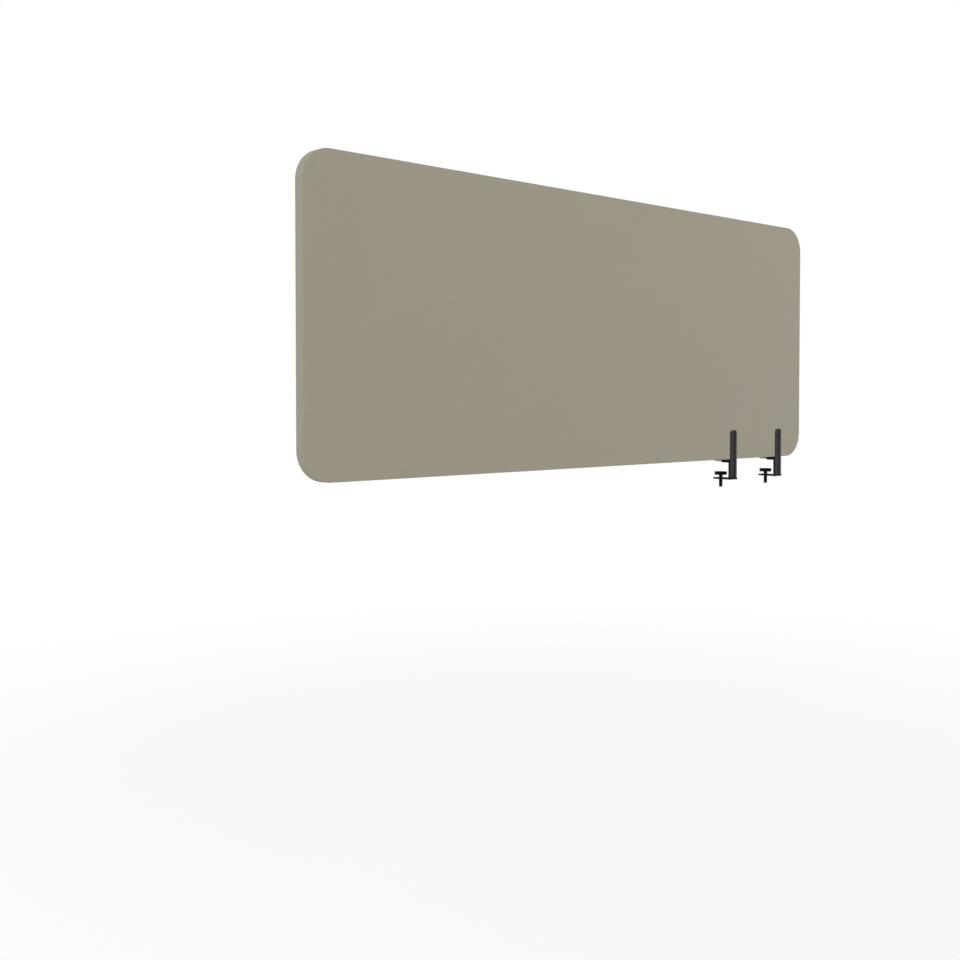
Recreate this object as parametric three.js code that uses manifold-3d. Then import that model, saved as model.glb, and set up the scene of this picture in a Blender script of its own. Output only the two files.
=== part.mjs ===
// Acoustic divider screen that two screw clamps hold on the edge of a board.
// Millimetres, +X along the panel, +Y in over the gripped board, +Z up.
// The origin is under the panel's mid-length, on the plane of the liners' undersides, which lie on
// the board, and on the plane of the stop blocks' far ends, which meet the board's edge.
import * as THREE from 'three';
import { mergeVertices } from 'three/addons/utils/BufferGeometryUtils.js';
import Module from 'manifold-3d';

const wasm = await Module();
wasm.setup();

// Panel sizes
const PANEL_LENGTH = 1600;
const PANEL_HEIGHT = 600;
const PANEL_THICKNESS = 24;
const CORNER_RADIUS = 60;
const COVER_THICKNESS = 1;
const COVER_INNER_ARRIS = 0.5;
const FOAM_THICKNESS = 2;
const RAIL_WIDTH = 40;
const RAIL_ABOVE_BAR = 9.5;
const BLOCK_PAST_CORNER = 21;
const FIT_GAP = 0.3;

// Clamp places along the panel, measured in from its +X end
const CLAMP_FROM_END = { outer: 100, inner: 300 };

// Clamp sizes
const BAR_WIDTH = 30;
const BAR_THICKNESS = 5;
const BAR_CROWN = 1.5;
const BAR_ARRIS = 1;
const BAR_ABOVE_PANEL_FOOT = 71.5;
const BAR_TOP_RADIUS = 8;
const STOP_REACH = 26;
const STOP_BELOW_SEAT = 2;
const STOP_ARRIS = 0.5;
const JAW_OVERHANG = 28;
const JAW_THICKNESS = 4;
const JAW_TIP_RADIUS = 8;
const JAW_ARRIS = 0.6;
const LINER_THICKNESS = 3;
const LINER_SETBACK = 2.5;
const LOWER_JAW_SIDE_LIP = 1;
const LOWER_JAW_NEAR_LIP = 1.6;
const LOWER_JAW_NEAR_RADIUS = 2;

// Opening between the jaw liner and the foot, wound right down, and how far the foot is raised
const LARGEST_OPENING = 32;
const FOOT_RAISED = 6;

// Clamping screw and foot sizes
const SCREW_FROM_JAW_TIP = 15.5;
const SCREW_DIAMETER = 10;
const SCREW_LENGTH = 36;
const SCREW_CHAMFER = 1;
const HEX_KEY = 5;
const HEX_DEPTH = 6;
const NECK_STEP = 1.5;
const GROOVE_DEPTH = 0.5;
const FOOT_DIAMETER = 31;
const FOOT_RUBBER = 2;
const FOOT_RUBBER_ARRIS = 0.5;
const FOOT_CUP_ARRIS = 1;
const FOOT_SOCKET_DEPTH = 2.2;
const FOOT_WEB = 1.8;
const FOOT_JAW_CLEARANCE = 0.5;
const CLIP_PROUD = 2;
const CLIP_THICKNESS = 0.8;
const CLIP_SIDE_ROOM = 1;
const CLIP_HEADROOM = 0.9;
const CLIP_MOUTH_DEGREES = 70;

// Wood screws through the bar into the bottom rail
const WOOD_SCREW_ABOVE_PANEL_FOOT = 20;
const WOOD_SCREW_BELOW_BAR_TOP = 17.5;
const WOOD_SCREW_HEAD = 8;
const WOOD_SCREW_SHANK = 4;
const WOOD_SCREW_POINT = 4;
const WOOD_SCREW_SUNK = 0.3;
const TIMBER_BEHIND_SCREW = 2;

// How far a cutter runs past what it cuts
const CUT_OVERRUN = 10;

// Steps used to draw arcs
const CORNER_STEPS = 16;
const ARRIS_STEPS = 4;
const CROWN_STEPS = 8;
const TIP_STEPS = 8;
const ROUND_STEPS = 40;
const SCREW_STEPS = 24;

// Sizes that follow from the ones above
const HALF_LENGTH = PANEL_LENGTH / 2;
const ARRIS_RADIUS = COVER_THICKNESS + COVER_INNER_ARRIS;
const SKIN = COVER_THICKNESS + FOAM_THICKNESS;
const FRAME_THICKNESS = PANEL_THICKNESS - SKIN - SKIN;
const FRAME_END = HALF_LENGTH - COVER_THICKNESS;
const FRAME_TOP = PANEL_HEIGHT - COVER_THICKNESS;
const FRAME_RADIUS = CORNER_RADIUS - COVER_THICKNESS;
const CORNER_BLOCK = FRAME_RADIUS + BLOCK_PAST_CORNER;
const BLOCK_END = FRAME_END - CORNER_BLOCK;
const STILE_END = FRAME_END - RAIL_WIDTH;
const BOTTOM_RAIL_TOP = BAR_ABOVE_PANEL_FOOT + RAIL_ABOVE_BAR;
const TOP_RAIL_FOOT = FRAME_TOP - RAIL_WIDTH;

const SEAT_HEIGHT = JAW_THICKNESS + LINER_THICKNESS;
const JAW_REACH = STOP_REACH + JAW_OVERHANG;
const SCREW_REACH = JAW_REACH - SCREW_FROM_JAW_TIP;
const CLIP_RECESS_DEPTH = FIT_GAP + CLIP_THICKNESS + CLIP_HEADROOM;
const FOOT_CUP = FOOT_SOCKET_DEPTH + FOOT_WEB + CLIP_RECESS_DEPTH;
const LOWER_JAW_TOP = -SEAT_HEIGHT - LARGEST_OPENING - FOOT_RUBBER - FOOT_CUP - FOOT_JAW_CLEARANCE;
const LOWER_JAW_FOOT = LOWER_JAW_TOP - JAW_THICKNESS;
const FOOT_TOP = -SEAT_HEIGHT - LARGEST_OPENING + FOOT_RAISED;
const CUP_TOP = FOOT_TOP - FOOT_RUBBER;
const CUP_FOOT = CUP_TOP - FOOT_CUP;
const WEB_FOOT = CUP_FOOT + FOOT_SOCKET_DEPTH;
const WEB_TOP = WEB_FOOT + FOOT_WEB;
const CLIP_FOOT = WEB_TOP + FIT_GAP;
const CLIP_TOP = CLIP_FOOT + CLIP_THICKNESS;
const SCREW_TOP = CUP_TOP - FIT_GAP;
const SCREW_FOOT = SCREW_TOP - SCREW_LENGTH;
const NECK_RADIUS = SCREW_DIAMETER / 2 - NECK_STEP;
const GROOVE_RADIUS = NECK_RADIUS - GROOVE_DEPTH;
const CLIP_RADIUS = NECK_RADIUS + CLIP_PROUD;

const WOOD_SCREW_TIP = PANEL_THICKNESS - SKIN - TIMBER_BEHIND_SCREW;
const WOOD_SCREW_HEIGHTS = {
  low: WOOD_SCREW_ABOVE_PANEL_FOOT,
  high: BAR_ABOVE_PANEL_FOOT - WOOD_SCREW_BELOW_BAR_TOP,
};

// Surface colours and finishes
const FINISHES = {
  coverCloth: { color: 0x9b9384, roughness: 0.95, metalness: 0 },
  bandCloth: { color: 0x9e9888, roughness: 0.95, metalness: 0 },
  foam: { color: 0xd9d5c8, roughness: 0.95, metalness: 0 },
  core: { color: 0x8f9181, roughness: 1, metalness: 0 },
  timber: { color: 0xc9ab7c, roughness: 0.75, metalness: 0 },
  blackSteel: { color: 0x111112, roughness: 0.3, metalness: 0 },
  blackenedSteel: { color: 0x0f0f10, roughness: 0.35, metalness: 0 },
  blackPlastic: { color: 0x0f0f10, roughness: 0.5, metalness: 0 },
  blackRubber: { color: 0x111111, roughness: 0.85, metalness: 0 },
  paleRubber: { color: 0xc4c5c3, roughness: 0.7, metalness: 0 },
  springSteel: { color: 0x6e7073, roughness: 0.35, metalness: 0.9 },
};

/** Joins coincident corners and drops triangles that have shrunk to a line. */
function welded(geometry) {
  const bare = geometry.clone();
  bare.deleteAttribute('normal');
  bare.deleteAttribute('uv');
  const merged = mergeVertices(bare);
  const index = merged.index.array;
  const kept = [];
  for (let i = 0; i < index.length; i += 3) {
    const [a, b, c] = [index[i], index[i + 1], index[i + 2]];
    if (a !== b && b !== c && c !== a) kept.push(a, b, c);
  }
  merged.setIndex(kept);
  return merged;
}

/** Returns six times the signed volume, which is negative for an inside-out surface. */
function signedVolume(points, triangles) {
  const [a, b, c] = [new THREE.Vector3(), new THREE.Vector3(), new THREE.Vector3()];
  let sum = 0;
  for (let i = 0; i < triangles.length; i += 3) {
    a.fromArray(points, triangles[i] * 3);
    b.fromArray(points, triangles[i + 1] * 3);
    c.fromArray(points, triangles[i + 2] * 3);
    sum += a.dot(b.cross(c));
  }
  return sum;
}

/** Turns a closed surface outwards and gives it normals. */
function solid(points, triangles) {
  if (signedVolume(points, triangles) < 0) triangles.reverse();
  const geometry = new THREE.BufferGeometry();
  geometry.setAttribute('position', new THREE.Float32BufferAttribute(points, 3));
  geometry.setIndex(triangles);
  geometry.computeVertexNormals();
  return geometry;
}

/**
 * Outline of a box between two corners, each corner with its own radius.
 * The corners come in the order low-low, high-low, high-high, low-high.
 */
function outline([lowA, lowB], [highA, highB], radii, inset, steps) {
  const corners = [
    { a: lowA, b: lowB, inA: 1, inB: 1, start: Math.PI },
    { a: highA, b: lowB, inA: -1, inB: 1, start: 1.5 * Math.PI },
    { a: highA, b: highB, inA: -1, inB: -1, start: 0 },
    { a: lowA, b: highB, inA: 1, inB: -1, start: 0.5 * Math.PI },
  ];
  const points = [];
  corners.forEach((corner, i) => {
    const reach = Math.max(radii[i], inset);
    const radius = Math.max(radii[i] - inset, 0);
    const centreA = corner.a + corner.inA * reach;
    const centreB = corner.b + corner.inB * reach;
    const count = radii[i] > 0 ? steps : 0;
    for (let k = 0; k <= count; k += 1) {
      const angle = corner.start + (0.5 * Math.PI * k) / Math.max(count, 1);
      const [shareA, shareB] = count ? [Math.cos(angle), Math.sin(angle)] : [0, 0];
      points.push([centreA + radius * shareA, centreB + radius * shareB]);
    }
  });
  return points;
}

const onFace = (level) => ([a, b]) => [a, level, b];
const onPlan = (level) => ([a, b]) => [a, b, level];

/** Skins a run of rings that have equally many points; the run is capped, or closed on itself. */
function loft(rings, capShape) {
  const points = rings.flat(2);
  const count = rings[0].length;
  const triangles = [];
  const last = rings.length - (capShape ? 1 : 0);
  for (let r = 0; r < last; r += 1) {
    const here = r * count;
    const there = ((r + 1) % rings.length) * count;
    for (let k = 0; k < count; k += 1) {
      const next = (k + 1) % count;
      triangles.push(here + k, here + next, there + next, here + k, there + next, there + k);
    }
  }
  if (capShape) {
    const flat = capShape.map(([a, b]) => new THREE.Vector2(a, b));
    const isClockwise = THREE.ShapeUtils.isClockWise(flat);
    const end = (rings.length - 1) * count;
    THREE.ShapeUtils.triangulateShape(flat, []).forEach((corners) => {
      const [i, j, k] = isClockwise ? [...corners].reverse() : corners;
      triangles.push(k, j, i, end + i, end + j, end + k);
    });
  }
  return solid(points, triangles);
}

/**
 * A flat piece between two levels, from a function that gives its outline for an inset.
 * Each of its two faces has its own arris radius.
 */
function slab(shapeAt, onLevel, low, high, lowArris, highArris) {
  const quarter = (arris, from, sign) => {
    if (!arris) return [{ inset: 0, level: from }];
    return Array.from({ length: ARRIS_STEPS + 1 }, (_, k) => {
      const angle = (0.5 * Math.PI * k) / ARRIS_STEPS;
      const inset = arris * (1 - Math.sin(angle));
      return { inset, level: from + sign * arris * (1 - Math.cos(angle)) };
    });
  };
  const rows = [...quarter(lowArris, low, 1), ...quarter(highArris, high, -1).reverse()];
  const rings = rows.map(({ inset, level }) => shapeAt(inset).map(onLevel(level)));
  return loft(rings, shapeAt(0));
}

/** A box between two corners. */
function block(low, high) {
  const size = low.map((value, i) => high[i] - value);
  const centre = low.map((value, i) => (high[i] + value) / 2);
  return new THREE.BoxGeometry(...size).translate(...centre);
}

/** A turned piece from radius and depth pairs, its axis along +Y. */
function turnedAlongY(profile, steps) {
  const points = profile.map(([radius, depth]) => new THREE.Vector2(radius, depth));
  const geometry = welded(new THREE.LatheGeometry(points, steps));
  return solid(Array.from(geometry.attributes.position.array), Array.from(geometry.index.array));
}

/** A turned piece from radius and height pairs, its axis along +Z. */
function turned(profile, steps) {
  return turnedAlongY(profile, steps).rotateX(Math.PI / 2);
}

/** Hands a closed surface to the boolean library. */
function toManifold(geometry) {
  const clean = welded(geometry);
  const mesh = new wasm.Mesh({
    numProp: 3,
    vertProperties: new Float32Array(clean.attributes.position.array),
    triVerts: new Uint32Array(clean.index.array),
  });
  return new wasm.Manifold(mesh);
}

/** Takes a solid back from the boolean library. */
function fromManifold(body) {
  const mesh = body.getMesh();
  return solid(Array.from(mesh.vertProperties), Array.from(mesh.triVerts));
}

/** Takes the cutters out of a solid. */
function cut(geometry, cutters) {
  let body = toManifold(geometry);
  cutters.forEach((cutter) => {
    body = body.subtract(toManifold(cutter));
  });
  return fromManifold(body);
}

/** Keeps what two solids share. */
function common(first, second) {
  return fromManifold(toManifold(first).intersect(toManifold(second)));
}

const clampPlaces = Object.entries(CLAMP_FROM_END).map(([name, fromEnd]) => {
  return { name, x: HALF_LENGTH - fromEnd };
});

// Panel

/** Panel outline in X and Z, moved inwards by the inset. */
function panelOutline(inset) {
  const radii = [CORNER_RADIUS, CORNER_RADIUS, CORNER_RADIUS, CORNER_RADIUS];
  return outline([-HALF_LENGTH, 0], [HALF_LENGTH, PANEL_HEIGHT], radii, inset, CORNER_STEPS);
}

/** Pockets that the clamp bars are let into, open to the panel's near face and foot. */
function barPockets() {
  const half = BAR_WIDTH / 2 + FIT_GAP;
  return clampPlaces.map(({ x }) => block([x - half, -CUT_OVERRUN, -CUT_OVERRUN],
    [x + half, BAR_THICKNESS, BAR_ABOVE_PANEL_FOOT + FIT_GAP]));
}

/** Pilot holes of the wood screws, from the panel's near face. */
function pilotHoles() {
  const radius = WOOD_SCREW_SHANK / 2 + FIT_GAP;
  const depth = WOOD_SCREW_TIP + FIT_GAP;
  return clampPlaces.flatMap(({ x }) => Object.values(WOOD_SCREW_HEIGHTS).map((height) => (
    turnedAlongY([[0, 0], [radius, 0], [radius, depth - WOOD_SCREW_POINT], [0, depth]],
      SCREW_STEPS).translate(x, 0, height))));
}

/** One cloth cover: a shallow tray whose rim turns back round the arris. */
function coverTray() {
  const rows = [];
  for (let k = 0; k <= ARRIS_STEPS; k += 1) {
    const angle = (0.5 * Math.PI * k) / ARRIS_STEPS;
    rows.push([ARRIS_RADIUS, angle]);
  }
  const innerRadius = ARRIS_RADIUS - COVER_THICKNESS;
  const inner = rows.map(([, angle]) => [innerRadius, angle]).reverse();
  const rings = [...rows, ...inner].map(([radius, angle]) => {
    const inset = ARRIS_RADIUS - radius * Math.sin(angle);
    const level = ARRIS_RADIUS - radius * Math.cos(angle);
    return panelOutline(inset).map(onFace(level));
  });
  return loft(rings, panelOutline(ARRIS_RADIUS));
}

function frontCover() {
  return cut(coverTray(), barPockets());
}

function rearCover() {
  const tray = welded(coverTray());
  const points = Array.from(tray.attributes.position.array);
  for (let i = 1; i < points.length; i += 3) points[i] = PANEL_THICKNESS - points[i];
  return solid(points, Array.from(tray.index.array));
}

/** The cloth band that runs round the panel's edge between the two covers. */
function edgeBand() {
  const near = ARRIS_RADIUS;
  const far = PANEL_THICKNESS - ARRIS_RADIUS;
  const outer = panelOutline(0);
  const inner = panelOutline(COVER_THICKNESS);
  const rings = [
    outer.map(onFace(near)), outer.map(onFace(far)),
    inner.map(onFace(far)), inner.map(onFace(near)),
  ];
  return cut(loft(rings, null), barPockets());
}

function foamSheet(nearLevel) {
  const shapeAt = (inset) => panelOutline(ARRIS_RADIUS + inset);
  return slab(shapeAt, onFace, nearLevel, nearLevel + FOAM_THICKNESS, 0, 0);
}

function frontFoam() {
  return cut(foamSheet(COVER_THICKNESS), barPockets());
}

function rearFoam() {
  return foamSheet(PANEL_THICKNESS - SKIN);
}

/** A frame member as a box in X and Z, as thick as the frame. */
function frameMember([lowX, lowZ], [highX, highZ]) {
  return block([lowX, SKIN, lowZ], [highX, SKIN + FRAME_THICKNESS, highZ]);
}

function topRail() {
  return frameMember([-BLOCK_END, TOP_RAIL_FOOT], [BLOCK_END, FRAME_TOP]);
}

/** The wide bottom rail, with the bar pockets and the pilot holes of the wood screws. */
function bottomRail() {
  const rail = frameMember([-BLOCK_END, COVER_THICKNESS], [BLOCK_END, BOTTOM_RAIL_TOP]);
  return cut(rail, [...barPockets(), ...pilotHoles()]);
}

function stile(side) {
  const [lowX, highX] = side < 0 ? [-FRAME_END, -STILE_END] : [STILE_END, FRAME_END];
  return frameMember([lowX, COVER_THICKNESS + CORNER_BLOCK], [highX, FRAME_TOP - CORNER_BLOCK]);
}

/** A corner block with the frame's outer radius, cut back where the core and the clamps need it. */
function cornerBlock(side, isTop) {
  const [lowX, highX] = side < 0 ? [-FRAME_END, -BLOCK_END] : [BLOCK_END, FRAME_END];
  const [lowZ, highZ] = isTop ? [FRAME_TOP - CORNER_BLOCK, FRAME_TOP]
    : [COVER_THICKNESS, COVER_THICKNESS + CORNER_BLOCK];
  const rounded = (isThisSide, isThisLevel) => (isThisSide && isThisLevel ? FRAME_RADIUS : 0);
  const radii = [rounded(side < 0, !isTop), rounded(side > 0, !isTop),
    rounded(side > 0, isTop), rounded(side < 0, isTop)];
  const shapeAt = () => outline([lowX, lowZ], [highX, highZ], radii, 0, CORNER_STEPS);
  const whole = slab(shapeAt, onFace, SKIN, SKIN + FRAME_THICKNESS, 0, 0);
  const coreRoom = block([-STILE_END, SKIN - CUT_OVERRUN, BOTTOM_RAIL_TOP],
    [STILE_END, SKIN + FRAME_THICKNESS + CUT_OVERRUN, TOP_RAIL_FOOT]);
  return cut(whole, [coreRoom, ...barPockets(), ...pilotHoles()]);
}

/** The sound-absorbing slab that fills the frame. */
function acousticCore() {
  const half = STILE_END - FIT_GAP;
  return frameMember([-half, BOTTOM_RAIL_TOP + FIT_GAP], [half, TOP_RAIL_FOOT - FIT_GAP]);
}

// Clamp, drawn at X zero

/** Cross-section in X and Y of the bar, whose crown stands proud of the panel's near face. */
function barSection() {
  const half = BAR_WIDTH / 2;
  const crownRadius = (half * half + BAR_CROWN * BAR_CROWN) / (BAR_CROWN + BAR_CROWN);
  const sweep = Math.asin((half - BAR_ARRIS) / crownRadius);
  const points = [[-half, BAR_THICKNESS], [half, BAR_THICKNESS], [half, BAR_ARRIS]];
  for (let k = 0; k <= CROWN_STEPS; k += 1) {
    const angle = sweep - ((sweep + sweep) * k) / CROWN_STEPS;
    const y = crownRadius - BAR_CROWN - crownRadius * Math.cos(angle);
    points.push([crownRadius * Math.sin(angle), y]);
  }
  points.push([-half, BAR_ARRIS]);
  return points;
}

/** Cutter of one wood screw's clearance hole and countersink. */
function woodScrewHole(height) {
  const hole = WOOD_SCREW_SHANK / 2 + FIT_GAP;
  const head = WOOD_SCREW_HEAD / 2 + FIT_GAP;
  const start = -BAR_CROWN - CUT_OVERRUN;
  const rim = -BAR_CROWN + WOOD_SCREW_SUNK;
  const end = BAR_THICKNESS + CUT_OVERRUN;
  const profile = [[0, start], [head, start], [head, rim], [hole, rim + head - hole],
    [hole, end], [0, end]];
  return turnedAlongY(profile, SCREW_STEPS).translate(0, 0, height);
}

/** The crowned upright bar, round at its top, that stands on the lower jaw. */
function spineBar() {
  const section = barSection();
  const rings = [LOWER_JAW_TOP, BAR_ABOVE_PANEL_FOOT].map((level) => section.map(onPlan(level)));
  const half = BAR_WIDTH / 2;
  const shapeAt = () => outline([-half, LOWER_JAW_TOP], [half, BAR_ABOVE_PANEL_FOOT],
    [0, 0, BAR_TOP_RADIUS, BAR_TOP_RADIUS], 0, TIP_STEPS);
  const face = slab(shapeAt, onFace, -BAR_CROWN - CUT_OVERRUN, BAR_THICKNESS + CUT_OVERRUN, 0, 0);
  const bar = common(loft(rings, section), face);
  return cut(bar, Object.values(WOOD_SCREW_HEIGHTS).map(woodScrewHole));
}

function upperJaw() {
  const half = BAR_WIDTH / 2;
  const shapeAt = () => outline([-half, BAR_THICKNESS], [half, JAW_REACH],
    [0, 0, JAW_TIP_RADIUS, JAW_TIP_RADIUS], 0, TIP_STEPS);
  return slab(shapeAt, onPlan, -JAW_THICKNESS, 0, 0, 0);
}

/** The short bar under the upper jaw; its far end, with eased arrises, meets the board's edge. */
function stopBlock() {
  const half = BAR_WIDTH / 2;
  const shapeAt = (inset) => outline([-half, -SEAT_HEIGHT - STOP_BELOW_SEAT],
    [half, -JAW_THICKNESS], [0, 0, 0, 0], inset, 0);
  return slab(shapeAt, onFace, BAR_THICKNESS, STOP_REACH, 0, STOP_ARRIS);
}

/** The soft liner between the upper jaw and the gripped board. */
function jawLiner() {
  const half = BAR_WIDTH / 2 - LINER_SETBACK;
  const tip = JAW_TIP_RADIUS - LINER_SETBACK;
  const shapeAt = () => outline([-half, STOP_REACH + LINER_SETBACK],
    [half, JAW_REACH - LINER_SETBACK], [0, 0, tip, tip], 0, TIP_STEPS);
  return slab(shapeAt, onPlan, -SEAT_HEIGHT, -JAW_THICKNESS, 0, 0);
}

/** The lower jaw, which the bar stands on, with the hole that the clamping screw goes through. */
function lowerJaw() {
  const half = BAR_WIDTH / 2 + LOWER_JAW_SIDE_LIP;
  const radii = [LOWER_JAW_NEAR_RADIUS, LOWER_JAW_NEAR_RADIUS, JAW_TIP_RADIUS, JAW_TIP_RADIUS];
  const shapeAt = (inset) => outline([-half, -LOWER_JAW_NEAR_LIP], [half, JAW_REACH], radii,
    inset, TIP_STEPS);
  const plate = slab(shapeAt, onPlan, LOWER_JAW_FOOT, LOWER_JAW_TOP, JAW_ARRIS, JAW_ARRIS);
  const radius = SCREW_DIAMETER / 2 + FIT_GAP;
  const [start, end] = [LOWER_JAW_FOOT - CUT_OVERRUN, LOWER_JAW_TOP + CUT_OVERRUN];
  const hole = turned([[0, start], [radius, start], [radius, end], [0, end]], ROUND_STEPS);
  return cut(plate, [hole.translate(0, SCREW_REACH, 0)]);
}

/** The clamping screw: hex socket below, neck and clip groove inside the foot. */
function clampScrew() {
  const radius = SCREW_DIAMETER / 2;
  const shoulder = WEB_FOOT - FIT_GAP;
  const grooveFoot = CLIP_FOOT - FIT_GAP / 2;
  const grooveTop = CLIP_TOP + FIT_GAP / 2;
  const body = turned([[0, SCREW_FOOT], [radius - SCREW_CHAMFER, SCREW_FOOT],
    [radius, SCREW_FOOT + SCREW_CHAMFER], [radius, shoulder], [NECK_RADIUS, shoulder],
    [NECK_RADIUS, grooveFoot], [GROOVE_RADIUS, grooveFoot], [GROOVE_RADIUS, grooveTop],
    [NECK_RADIUS, grooveTop], [NECK_RADIUS, SCREW_TOP], [0, SCREW_TOP]], ROUND_STEPS);
  const corner = HEX_KEY / Math.sqrt(3);
  const hex = new THREE.CylinderGeometry(corner, corner, HEX_DEPTH + CUT_OVERRUN, 6);
  hex.rotateX(Math.PI / 2).translate(0, 0, SCREW_FOOT + (HEX_DEPTH - CUT_OVERRUN) / 2);
  return cut(body, [hex]).translate(0, SCREW_REACH, 0);
}

/** The round cup of the foot, with a socket for the screw and a recess for its clip. */
function footCup() {
  const radius = FOOT_DIAMETER / 2;
  const socket = SCREW_DIAMETER / 2 + FIT_GAP;
  const bore = NECK_RADIUS + FIT_GAP;
  const recess = CLIP_RADIUS + CLIP_SIDE_ROOM;
  const profile = [[socket, CUP_FOOT], [radius - FOOT_CUP_ARRIS, CUP_FOOT],
    [radius, CUP_FOOT + FOOT_CUP_ARRIS], [radius, CUP_TOP], [recess, CUP_TOP],
    [recess, WEB_TOP], [bore, WEB_TOP], [bore, WEB_FOOT], [socket, WEB_FOOT], [socket, CUP_FOOT]];
  return turned(profile, ROUND_STEPS).translate(0, SCREW_REACH, 0);
}

function footRubber() {
  const radius = FOOT_DIAMETER / 2;
  const profile = [[0, CUP_TOP], [radius, CUP_TOP], [radius, FOOT_TOP - FOOT_RUBBER_ARRIS],
    [radius - FOOT_RUBBER_ARRIS, FOOT_TOP], [0, FOOT_TOP]];
  return turned(profile, ROUND_STEPS).translate(0, SCREW_REACH, 0);
}

/** The open spring ring in the screw's groove. */
function retainingClip() {
  const inner = GROOVE_RADIUS + FIT_GAP / 2;
  const mouth = THREE.MathUtils.degToRad(CLIP_MOUTH_DEGREES);
  const arc = (radius, from, to) => Array.from({ length: SCREW_STEPS + 1 }, (_, k) => {
    const angle = from + ((to - from) * k) / SCREW_STEPS;
    return [radius * Math.cos(angle), radius * Math.sin(angle)];
  });
  const start = mouth / 2;
  const end = 2 * Math.PI - mouth / 2;
  const shape = [...arc(CLIP_RADIUS, start, end), ...arc(inner, end, start)];
  const rings = [CLIP_FOOT, CLIP_TOP].map((level) => shape.map(onPlan(level)));
  return loft(rings, shape).translate(0, SCREW_REACH, 0);
}

function woodScrew(height) {
  const head = WOOD_SCREW_HEAD / 2;
  const shank = WOOD_SCREW_SHANK / 2;
  const top = -BAR_CROWN + WOOD_SCREW_SUNK;
  return turnedAlongY([[0, top], [head, top], [shank, top + head - shank],
    [shank, WOOD_SCREW_TIP - WOOD_SCREW_POINT], [0, WOOD_SCREW_TIP]],
  SCREW_STEPS).translate(0, 0, height);
}

// Assembly

const group = new THREE.Group();
group.name = 'acoustic_divider_screen';

/** Adds one named piece, moved from the foot of the panel's near face to the origin. */
function add(name, geometry, finish) {
  const placed = geometry.translate(0, -STOP_REACH, SEAT_HEIGHT);
  const mesh = new THREE.Mesh(placed, new THREE.MeshStandardMaterial(FINISHES[finish]));
  mesh.name = name;
  group.add(mesh);
}

add('front_cover', frontCover(), 'coverCloth');
add('rear_cover', rearCover(), 'coverCloth');
add('edge_band', edgeBand(), 'bandCloth');
add('front_foam', frontFoam(), 'foam');
add('rear_foam', rearFoam(), 'foam');
add('acoustic_core', acousticCore(), 'core');
add('top_rail', topRail(), 'timber');
add('bottom_rail', bottomRail(), 'timber');
[{ label: 'left', side: -1 }, { label: 'right', side: 1 }].forEach(({ label, side }) => {
  add(`${label}_stile`, stile(side), 'timber');
  add(`corner_block_top_${label}`, cornerBlock(side, true), 'timber');
  add(`corner_block_bottom_${label}`, cornerBlock(side, false), 'timber');
});

clampPlaces.forEach(({ name, x }) => {
  const pieces = {
    spine_bar: [spineBar(), 'blackSteel'],
    upper_jaw: [upperJaw(), 'blackSteel'],
    stop_block: [stopBlock(), 'blackSteel'],
    lower_jaw: [lowerJaw(), 'blackSteel'],
    jaw_liner: [jawLiner(), 'paleRubber'],
    clamp_screw: [clampScrew(), 'blackenedSteel'],
    foot_cup: [footCup(), 'blackPlastic'],
    foot_rubber: [footRubber(), 'blackRubber'],
    retaining_clip: [retainingClip(), 'springSteel'],
  };
  Object.entries(WOOD_SCREW_HEIGHTS).forEach(([level, height]) => {
    pieces[`wood_screw_${level}`] = [woodScrew(height), 'blackenedSteel'];
  });
  Object.entries(pieces).forEach(([piece, [geometry, finish]]) => {
    add(`${piece}_${name}`, geometry.translate(x, 0, 0), finish);
  });
});

export default group;
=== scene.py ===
"""Looks of a clamp-on acoustic divider screen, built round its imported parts.

Everything is in metres in the part's own frame: +X along the panel, +Y in over the board that the
clamps grip, +Z up, with the origin where that board's upper face meets its edge.
"""

import logging
import math
from collections.abc import Callable, Iterable, Sequence
from dataclasses import dataclass, field
from enum import Enum

import bmesh
import bpy
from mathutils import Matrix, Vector


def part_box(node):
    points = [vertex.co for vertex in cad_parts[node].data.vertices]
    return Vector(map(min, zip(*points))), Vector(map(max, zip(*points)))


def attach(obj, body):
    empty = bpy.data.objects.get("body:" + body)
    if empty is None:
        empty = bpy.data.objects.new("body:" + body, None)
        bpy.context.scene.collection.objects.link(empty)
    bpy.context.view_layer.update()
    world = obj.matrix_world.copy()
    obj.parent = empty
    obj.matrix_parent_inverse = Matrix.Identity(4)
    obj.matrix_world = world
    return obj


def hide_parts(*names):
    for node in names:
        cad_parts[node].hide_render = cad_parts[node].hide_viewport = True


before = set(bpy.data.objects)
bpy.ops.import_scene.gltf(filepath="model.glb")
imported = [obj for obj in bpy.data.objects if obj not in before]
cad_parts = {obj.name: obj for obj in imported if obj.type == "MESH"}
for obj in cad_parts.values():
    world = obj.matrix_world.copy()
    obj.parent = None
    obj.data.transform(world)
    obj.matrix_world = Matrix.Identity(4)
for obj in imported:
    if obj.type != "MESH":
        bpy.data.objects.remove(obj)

log = logging.getLogger("divider_screen")

Piece = bpy.types.Object
Socket = bpy.types.NodeSocket
Point2 = tuple[float, float]
Point3 = tuple[float, float, float]
Ring = list[Point3]
Placing = Callable[[Point3], Point3]
Feed = float | Point3 | Socket

SCREEN = "screen"
CLOTH_MAP = "cloth"
SAME_PLACE = 1e-6
CRISP_DEGREES = 35.0
SLAB_ARRIS_STEPS = 3
BAR_TOP_RADIUS = 0.008
POCKET_GAP = 0.0003
POCKET_OVERRUN = 0.01
QUARTER_TURN = math.pi / 2
FULL_TURN = 2 * math.pi


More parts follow.
